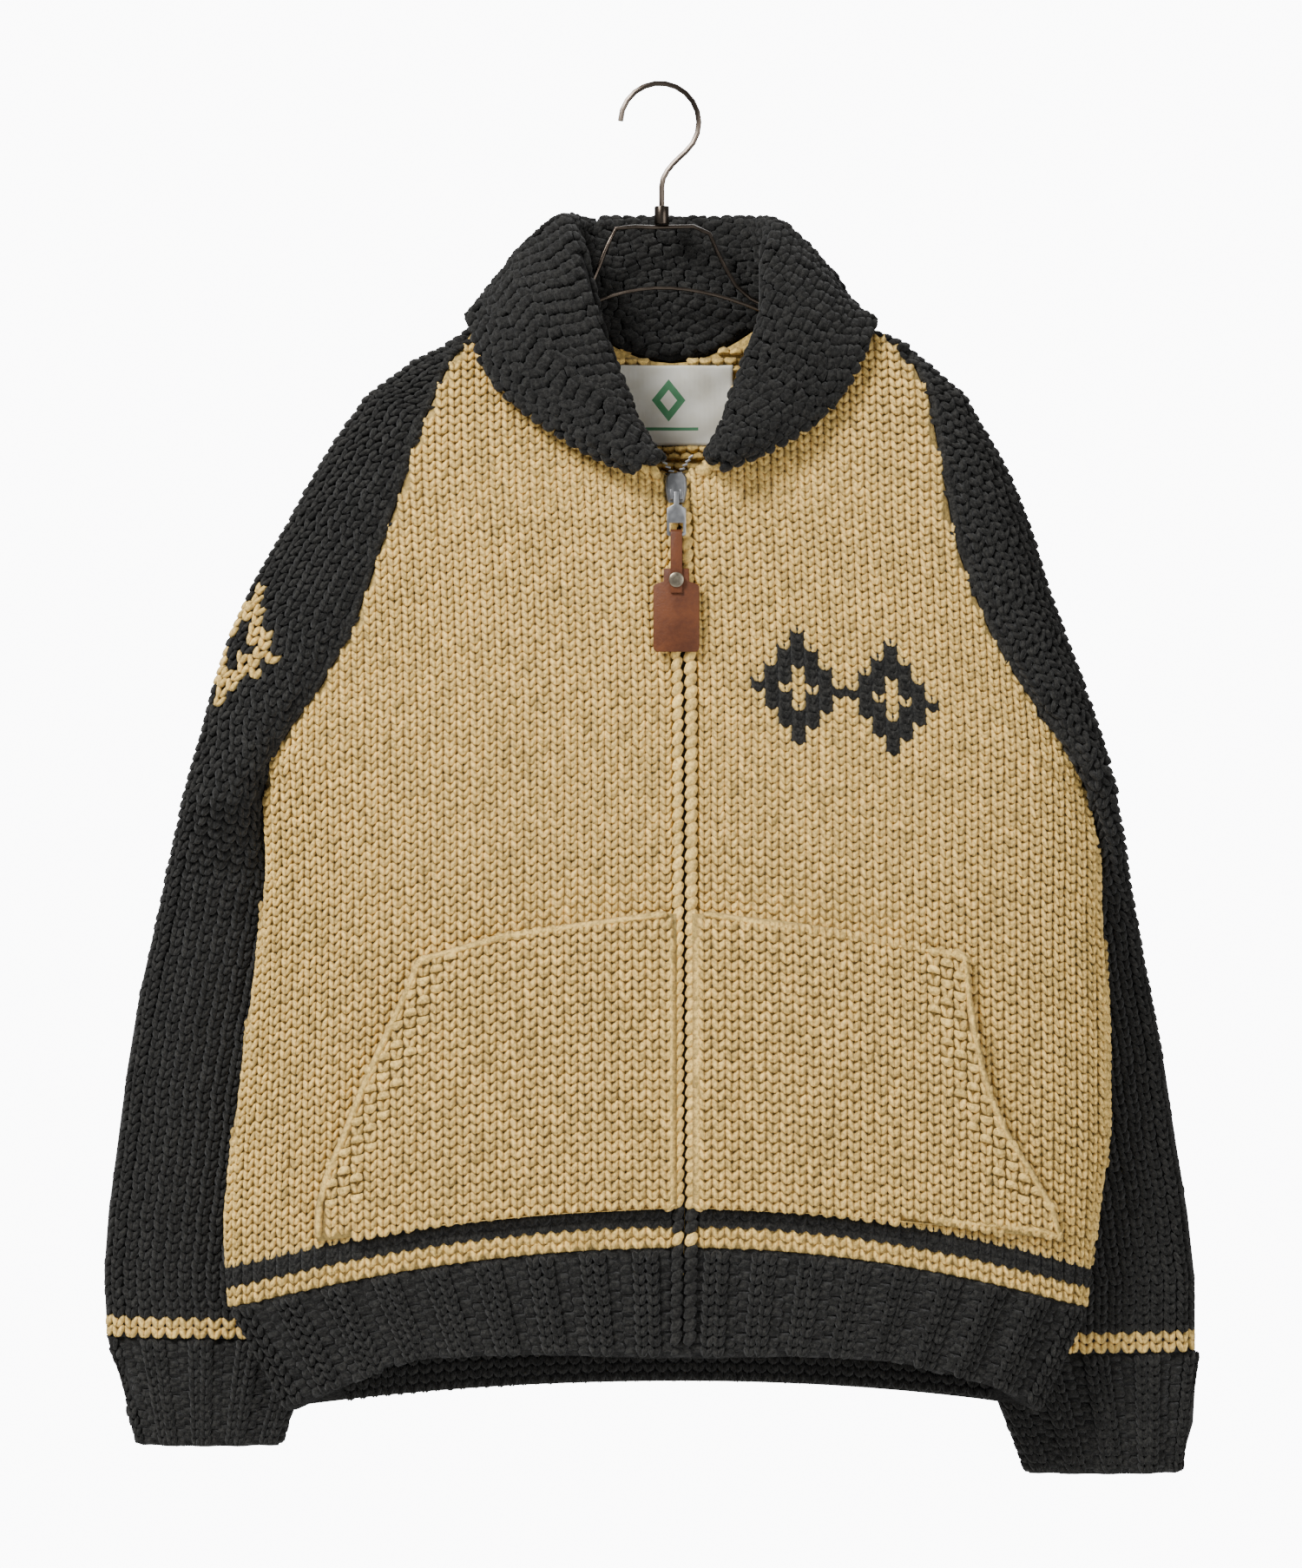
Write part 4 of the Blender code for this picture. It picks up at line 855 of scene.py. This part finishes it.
for side, word in SIDES:
    low, high = CUFF_Z[side]
    solid = solids[f"cuff_{word}"]
    turns = [(1 - math.cos(math.pi * k / CUFF_SAMPLES)) / 2 for k in range(CUFF_SAMPLES + 1)]
    rings = []
    for z in (low + END_IN, high - END_IN):
        outer_x = outermost(solid, -1, z, ARM_OUT * side, -side)
        inner_x = outermost(solid, -1, z, CUFF_X * side, side)
        xs, zs = [inner_x + (outer_x - inner_x) * turn for turn in turns], [z] * len(turns)
        rings.append((traced(solid, -1, xs, zs), traced(solid, 1, xs[::-1], zs)))
    stitches = Stitches()
    for half, facing in ((0, -1), (1, 1)):
        count = 2 * round(reach_of(rings[1][half])[-1] / (2 * RIB_STITCH))
        bottom, top = (even(ring[half], count) for ring in rings)
        rows = rows_between(solid, facing, bottom, top, round((high - low) / RIB_ROW))
        rib(rows, stitches, LEG if facing < 0 else PLAIN_LEG)
    piece = stitches.piece(f"cuff_stitches_{word}")
    cloth(f"cuff_{word}", CHARCOAL)


# The collar: a deep shawl of garter stitch, sewn round the neck. Its ridges run along it,
# so it stands at the back, rolls over and lies down over the shoulders.
COLLAR_LINES = (  # sections round the neck, each from its seam to its edge, in mm
    ((-19, -31, -243), (-12, -40, -252), (-4, -49, -253),
     (-7, -51, -254), (-9, -53, -252), (-12, -47, -253)),
    ((-33, -29, -217), (-28, -37, -226), (-21, -44, -228),
     (-23, -46, -228), (-38, -48, -232), (-53, -40, -237)),
    ((-48, -22, -177), (-45, -30, -181), (-38, -37, -181),
     (-40, -38, -182), (-72, -39, -192), (-103, -31, -203)),
    ((-56, -9, -138), (-56, -18, -134), (-52, -26, -128),
     (-54, -27, -130), (-87, -25, -148), (-119, -14, -169)),
    ((-85, 3, -138), (-72, 1, -110), (-64, -1, -94),
     (-67, -2, -95), (-95, 4, -122), (-119, 12, -153)),
    ((-47, 17, -159), (-47, 22, -116), (-47, 24, -91),
     (-49, 25, -92), (-67, 37, -130), (-82, 41, -172)),
    ((7, 23, -179), (6, 28, -122), (5, 31, -90), (5, 33, -92), (5, 45, -139), (5, 49, -188)),
    ((59, 17, -160), (58, 22, -116), (56, 24, -91), (59, 25, -92), (78, 37, -130), (93, 41, -172)),
    ((96, 5, -137), (84, 2, -112), (77, 0, -97), (80, -2, -98), (107, 4, -126), (132, 11, -156)),
    ((77, -10, -141), (78, -18, -138), (74, -25, -132),
     (76, -27, -134), (105, -25, -153), (133, -18, -174)),
    ((71, -22, -178), (69, -30, -183), (63, -37, -182),
     (65, -38, -184), (88, -39, -198), (110, -31, -214)),
    ((56, -29, -218), (54, -36, -225), (49, -44, -225),
     (51, -46, -227), (60, -48, -233), (69, -41, -241)),
    ((40, -28, -241), (39, -38, -251), (36, -48, -250),
     (39, -50, -253), (37, -54, -249), (37, -48, -250)),
)
AROUND, DOWN = 240, 40  # steps round the collar, and down from its edge
LOOKS_FORWARD = (40, 8)  # a spot of the grid where the collar faces the front
SNAP = 0.012  # the grid lies this near to the solid's face
GARTER_STITCH, GARTER_ROW = 0.0092, 0.0041


def along_curve(points, t):
    """A smooth curve through points, at t from 0 to their number less one."""
    k = min(int(t), len(points) - 2)
    t -= k
    before, start, end, after = (points[min(max(k + i, 0), len(points) - 1)] for i in (-1, 0, 1, 2))
    return 0.5 * (
        2 * start + (end - before) * t + (2 * before - 5 * start + 4 * end - after) * t * t
        + (3 * start - before - 3 * end + after) * t ** 3
    )


lines = np.array(COLLAR_LINES) / 1000.0
sections, spots = lines.shape[:2]
grid = []
for k in range(AROUND + 1):
    t = (sections - 1) * k / AROUND
    section = np.array([along_curve(lines[:, j], t) for j in range(spots)])
    grid.append([along_curve(section, (spots - 1) * i / DOWN) for i in range(DOWN, -1, -1)])
grid = np.array(grid)
facing = np.cross(np.gradient(grid, axis=0), np.gradient(grid, axis=1))
facing /= np.maximum(np.linalg.norm(facing, axis=2), 1e-9)[:, :, None]
facing *= -np.sign(facing[(*LOOKS_FORWARD, 1)])
solid = solids["collar"]
profiles = []
for line, turns in zip(grid, facing):
    snapped = []
    for point, turn in zip(line, turns):
        hit = solid.ray_cast(Vector(point + turn * SNAP), Vector(-turn), 2 * SNAP)
        snapped.append(np.array(hit[0] or solid.find_nearest(Vector(point))[0]))
    profiles.append((np.array(snapped), reach_of(snapped)))
stitches = Stitches()
for r in range(int(max(reach[-1] for _, reach in profiles) / GARTER_ROW)):
    depth = (r + 0.45) * GARTER_ROW
    runs = [[]]
    for line, reach in profiles:
        if depth <= reach[-1]:
            runs[-1].append(at_reach(line, reach, depth))
        elif runs[-1]:
            runs.append([])
    for run in (run for run in runs if len(run) >= 6):
        spots = even(run, max(int(reach_of(run)[-1] / (GARTER_STITCH / 2)), 2))
        for c in range(1 + r % 2, len(spots) - 1, 2):
            spot, normal, _, _ = solid.find_nearest(Vector(spots[c]))
            out = np.array(normal)
            wide = spots[c + 1] - spots[c - 1]
            wide -= out * np.dot(wide, out)
            high = np.cross(out, wide)
            high *= GARTER_ROW * 1.9 / max(np.linalg.norm(high), 1e-6)
            cell = (np.array(spot), wide, high, out)
            # The collar's stitches take the charcoal darkened as painted shade.
            stitches.purl(cell, CHARCOAL_IN_PAINTED_SHADE, 1.0 if r % 2 else -1.0, FINE_PURL)
piece = stitches.piece("collar_stitches")
cloth("collar", CHARCOAL, 0.0016, 1.0)


# The pockets: patches of stockinette sewn on the fronts, with a slanted opening that is
# edged by moss stitch and bound off in a smooth, rolled edge.
OPENING_Z, OPENING_MIDDLE, OPENING_HALF = -0.735, 0.016, 0.262  # where the edge slants
MOSS = 3  # stitches wide
BOUND_STITCH, POCKET_EDGE_Z = 0.0052, (-0.745, -0.555, 0.004)

for side, word in SIDES:
    solid, front = solids[f"pocket_{word}"], solids[f"front_{word}"]
    rows = body_rows(solid, -1, side, front_row_z, STITCH, ROW, CORD[side], 200, front)
    cells = cells_of(rows, STITCH, ROW)
    stitches = Stitches()
    bound = []
    for r in sorted(rows):
        if not rows[r]:
            continue
        last = max(rows[r])
        rim_x, _, z = rows[r][last][0]
        slanting = z > OPENING_Z and abs(rim_x - OPENING_MIDDLE) < OPENING_HALF
        for c in rows[r]:
            if (r, c) not in cells:
                continue
            if slanting and c > last - MOSS and (r + c) % 2:
                spot, wide, high, out = cells[r, c]
                bump = (spot + 0.0004 * out, 1.02 * wide, 1.20 * high, 0.78 * out)
                stitches.purl(bump, CREAM, 1.0 if r % 4 < 2 else -1.0, FINE_PURL)
            else:
                stitches.knit(cells[r, c], CREAM)
        start, fine_steps = rim_x + 0.03 * side, -side * 0.4
        bound.append(past_edge(solid, solid, -1, z, start, fine_steps, -side * 0.0006))
    for before, spot, after in chain(met(bound), BOUND_STITCH):
        along = (after - before) * 0.82
        spot, across = spot + (0.0, -0.0004, 0.0), beside(along, -1, 0.0026)
        stitches.add(LEG, spot, along, across, (0.0, -0.0028, 0.0), CREAM)
    sewn = met(
        past_edge(solid, solid, -1, z, middle_x(z), side, side * 0.0024)
        for z in np.arange(*POCKET_EDGE_Z)
    )
    for before, spot, after in chain(sewn, ROW):
        along = (after - before) * 0.46 + (side * 0.0008, 0.0, 0.0)
        stitches.add(LEG, spot, along, (0.0028, 0.0, 0.0), (0.0, -0.0022, 0.0), CREAM)
    piece = stitches.piece(f"pocket_stitches_{word}", "cream wool")
    cloth(f"pocket_{word}", CREAM)


# The selvedges beside the zip: each front ends in a raised, twisted cord of yarn that
# hides the zip, in the colour of the row it grows from.
CORD_PITCH, CORD_Z = 0.0080, (-0.826, -0.236, 0.002)
PARTED_Z, NECK_Z = -0.283, -0.2635  # the slider sits between the two
CORD_HEM, CORD_STRIPE = HEM + 0.044, (2, 4.4)  # the hem's height there, the stripe's rows
PROUD, PROUD_AT_SLIDER, SUNK = 0.0042, 0.0014, 0.0030

for side, word in SIDES:
    front, welt, wide = solids[f"front_{word}"], solids[f"welt_front_{word}"], CORD[side]
    route = []
    for z in np.arange(*CORD_Z):
        inner_x = middle_x(z) + side * 0.0004
        if z > NECK_Z:
            inner_x = outermost(front, -1, z, inner_x, side)
        if inner_x is None:
            continue
        x = inner_x + side * wide / 2
        route += met(face_at(solid, -1, x, z)[0] for solid in (front, welt))[:1]
    stitches = Stitches()
    for before, spot, after in chain(route, CORD_PITCH):
        up = (after - before) / np.linalg.norm(after - before)
        over = np.cross(up, (0.0, -side, 0.0))
        over *= side * np.sign(over[0])
        row = (spot[2] - CORD_HEM) / ROW
        colour = CHARCOAL if row < 0 or CORD_STRIPE[0] <= row < CORD_STRIPE[1] else CREAM
        proud = PROUD_AT_SLIDER if PARTED_Z < spot[2] < NECK_Z + 0.0065 else PROUD
        along = 0.0050 * up + side * 0.0026 * over
        across = 0.42 * wide * over - side * 0.0020 * up
        spot = spot - (0.0, proud - SUNK, 0.0)
        stitches.add(FINE_LEG, spot, along, across, (0.0, -proud, 0.0), colour)
    stitches.piece(f"selvedge_cord_{word}", "cream wool")


# The neck label: a satin-woven rectangle, turned under at its edges and stitched to the
# back, in off white with a plain diamond and a bar in green.
LABEL_X, LABEL_Z = 0.006, -0.205
DIAMOND_OUT, DIAMOND_IN, DIAMOND_SLIM = (0.0138, 0.0142), (0.0068, 0.0072), 1.25
BAR_DROP, BAR_HALF_HEIGHT, BAR_HALF_WIDTH = 0.019, (0.0009, 0.0012), (0.0195, 0.0199)

satin = Finish("woven label satin", Roughness=0.42, Sheen_Weight=0.25)
axes = [satin.add("ShaderNodeSeparateXYZ", {}, satin.place(), out=i) for i in (0, 2)]
sideways = satin.math("ABSOLUTE", axes[0] - LABEL_X)
upward = satin.math("ABSOLUTE", axes[1] - LABEL_Z)
diamond = 1 - (sideways * DIAMOND_SLIM + upward).smooth(*DIAMOND_OUT)
window = 1 - (sideways * DIAMOND_SLIM + upward).smooth(*DIAMOND_IN)
bar = 1 - satin.math("ABSOLUTE", axes[1] - (LABEL_Z - BAR_DROP)).smooth(*BAR_HALF_HEIGHT)
green = diamond * (1 - window) + bar * (1 - sideways.smooth(*BAR_HALF_WIDTH))
threads = satin.math("SINE", axes[0] * 9000.0) * 0.5 + satin.math("SINE", axes[1] * 14000.0) * 0.5
soiling = satin.noise(60.0, 3.0)
plain = satin.mix(soiling.smooth(0.35, 0.7), (0.74, 0.72, 0.63, 1.0), (0.66, 0.63, 0.52, 1.0))
satin.colour(green, plain, (0.035, 0.20, 0.07, 1.0))
satin.bump(threads * 0.4 + soiling, 0.0004, 0.5)

label = copy_of("neck_label_cloth", "neck_label")
bpy.ops.mesh.tris_convert_to_quads()
bpy.ops.mesh.subdivide(number_cuts=5)
bpy.ops.object.mode_set(mode="OBJECT")
for vertex in label.data.vertices:
    x, _, z = vertex.co
    vertex.co.y += 0.0007 * math.sin(x * 170 + z * 60) + 0.0005 * math.sin(x * 90 - z * 210)
dress(label, 50, satin.material, "garment", "neck_label")


# The zip: two black woven tapes sewn behind the fronts' edges, each with a chain of grey
# metal teeth. Only the top shows, where the chain parts above the slider.
TOOTH, TOOTH_BEVEL = (0.0036, 0.0022, 0.0013), 0.0003
TOOTH_PITCH, TOOTH_TOP, TOOTH_END = 0.0026, -0.2465, -0.290
TOOTH_X, TOOTH_Y = 0.0014, -0.0336  # from the zip's middle, and in front
PARTING_Z = -0.2585  # above it the two chains spread, step back and turn
PARTING_WIDE, PARTING_DEEP, PARTING_TURN, MOST_TURNED = 0.75, 0.20, 60, 0.6

tape = Finish("woven zip tape", Roughness=0.8)
weave = tape.noise(2600.0, 1.0)
tape.colour(weave, (0.02, 0.02, 0.021, 1.0), (0.06, 0.058, 0.055, 1.0))
tape.bump(weave, 0.0004, 0.6)
zinc = Finish("brushed grey metal", Metallic=1.0)
cloudy = zinc.noise(260.0, 4.0)
fine = zinc.noise(2200.0, 2.0)
zinc.colour(cloudy, (0.20, 0.205, 0.215, 1.0), (0.40, 0.405, 0.41, 1.0))
zinc.feed("Roughness", 0.24 + 0.22 * cloudy + 0.10 * fine)
zinc.bump(fine + cloudy, 0.0002, 0.35)
for _, word in SIDES:
    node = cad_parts[f"zip_tape_{word}"]
    node.data.materials.clear()
    node.data.materials.append(tape.material)

bpy.ops.mesh.primitive_cube_add(size=1.0)
bpy.ops.object.mode_set(mode="EDIT")
bpy.ops.transform.resize(value=TOOTH)
bpy.ops.mesh.bevel(offset=TOOTH_BEVEL, segments=2)
bpy.ops.object.mode_set(mode="OBJECT")
corners, faces = shape_of(bpy.context.object)
for side, word in SIDES:
    points, every = [], []
    z = TOOTH_END + (TOOTH_PITCH / 2 if side > 0 else 0.0)
    while z < TOOTH_TOP:
        spread = max(z - PARTING_Z, 0.0)
        x = middle_x(z) + side * (TOOTH_X + spread * PARTING_WIDE)
        y = TOOTH_Y - spread * PARTING_DEEP
        turn = side * min(spread * PARTING_TURN, MOST_TURNED)
        every += [[len(points) + i for i in face] for face in faces]
        for wide, deep, high in corners:
            dx = wide * math.cos(turn) - high * math.sin(turn)
            dz = wide * math.sin(turn) + high * math.cos(turn)
            points.append((x + dx, y + deep, z + dz))
        z += TOOTH_PITCH
    mesh = bpy.data.meshes.new(f"zip_teeth_{word}")
    mesh.from_pydata(points, [], every)
    mesh.materials.append(zinc.material)
    teeth = added(f"zip_teeth_{word}", mesh)
    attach(teeth, "garment")


# The slider with its tab, in cast grey metal, and the strap and tag cut from brown
# vegetable-tanned leather, riveted together. Their edges are eased.
def eased(name, node, body, finish, width):
    """A solid's form with its corners rounded off, or only shaded smooth at width 0."""
    piece = copy_of(name, node, 0.00001)
    bpy.ops.mesh.dissolve_limited(angle_limit=math.radians(1.0))
    bpy.ops.object.mode_set(mode="OBJECT")
    if width:
        edge = piece.modifiers.new("edge", "BEVEL")
        edge.width = width
        edge.segments = 2
        edge.limit_method = "ANGLE"
        edge.angle_limit = math.radians(28)
        bpy.ops.object.modifier_apply(modifier="edge")
    dress(piece, 35, finish.material, body, node)


leather = Finish("brown leather", Specular_IOR_Level=0.45)
pores = leather.add("ShaderNodeTexVoronoi", {}, leather.place(), Scale=900.0)
hide = leather.noise(55.0, 4.0)
creases = leather.noise(340.0, 3.0)
tanned = (0.7 * hide + 0.3 * creases).smooth(0.3, 0.7)
leather.colour(tanned, (0.078, 0.0180, 0.0032, 1.0), (0.152, 0.0405, 0.0070, 1.0))
leather.feed("Roughness", 0.38 + 0.25 * hide + 0.10 * creases)
leather.bump(pores * 0.5 + creases * 0.8, 0.0004, 0.5)
brass = Finish("antique rivet", Metallic=1.0)
worn = brass.noise(500.0, 3.0)
brass.colour(worn, (0.16, 0.13, 0.09, 1.0), (0.42, 0.37, 0.28, 1.0))
brass.feed("Roughness", 0.25 + 0.25 * worn)
eased("slider", "zip_slider", "garment", zinc, 0.0005)
eased("pull_tab", "zip_pull_tab", "pull", zinc, 0.0004)
eased("leather_strap", "pull_strap", "tag", leather, 0.0003)
eased("leather_tag", "pull_tag", "tag", leather, 0.0005)

low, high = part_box("tag_rivet")
centre = (Vector(low) + Vector(high)) / 2
radius = (high[0] - low[0]) / 2
thin = (high[1] - low[1]) / 2 / radius
bpy.ops.mesh.primitive_uv_sphere_add(
    segments=32, ring_count=16, radius=radius, location=centre, scale=(1.0, thin, 1.0),
)
rivet = bpy.context.object
rivet.name = "rivet_head"
bpy.ops.object.transform_apply(location=True, rotation=True, scale=True)
dress(rivet, 180, brass.material, "tag", "tag_rivet")


# The hanger: bronzed steel wire, its hook pressed into a turned ferrule that joins the
# shoulder frame, whose arched rail is welded in below.
steel = Finish("bronzed steel", Metallic=1.0)
tarnish = steel.noise(120.0, 4.0)
drawn = steel.noise(1800.0, 2.0)
steel.colour(tarnish, (0.046, 0.035, 0.027, 1.0), (0.125, 0.102, 0.083, 1.0))
steel.feed("Roughness", 0.18 + 0.16 * tarnish + 0.06 * drawn)
steel.bump(drawn, 0.0001, 0.3)
for name, node, width in (
    ("hook_wire", "hanger_hook", 0.0), ("shoulder_wire", "hanger_bar", 0.0),
    ("rail_wire", "hanger_rail", 0.0), ("ferrule", "hanger_ferrule", 0.0004),
):
    eased(name, node, "garment", steel, width)
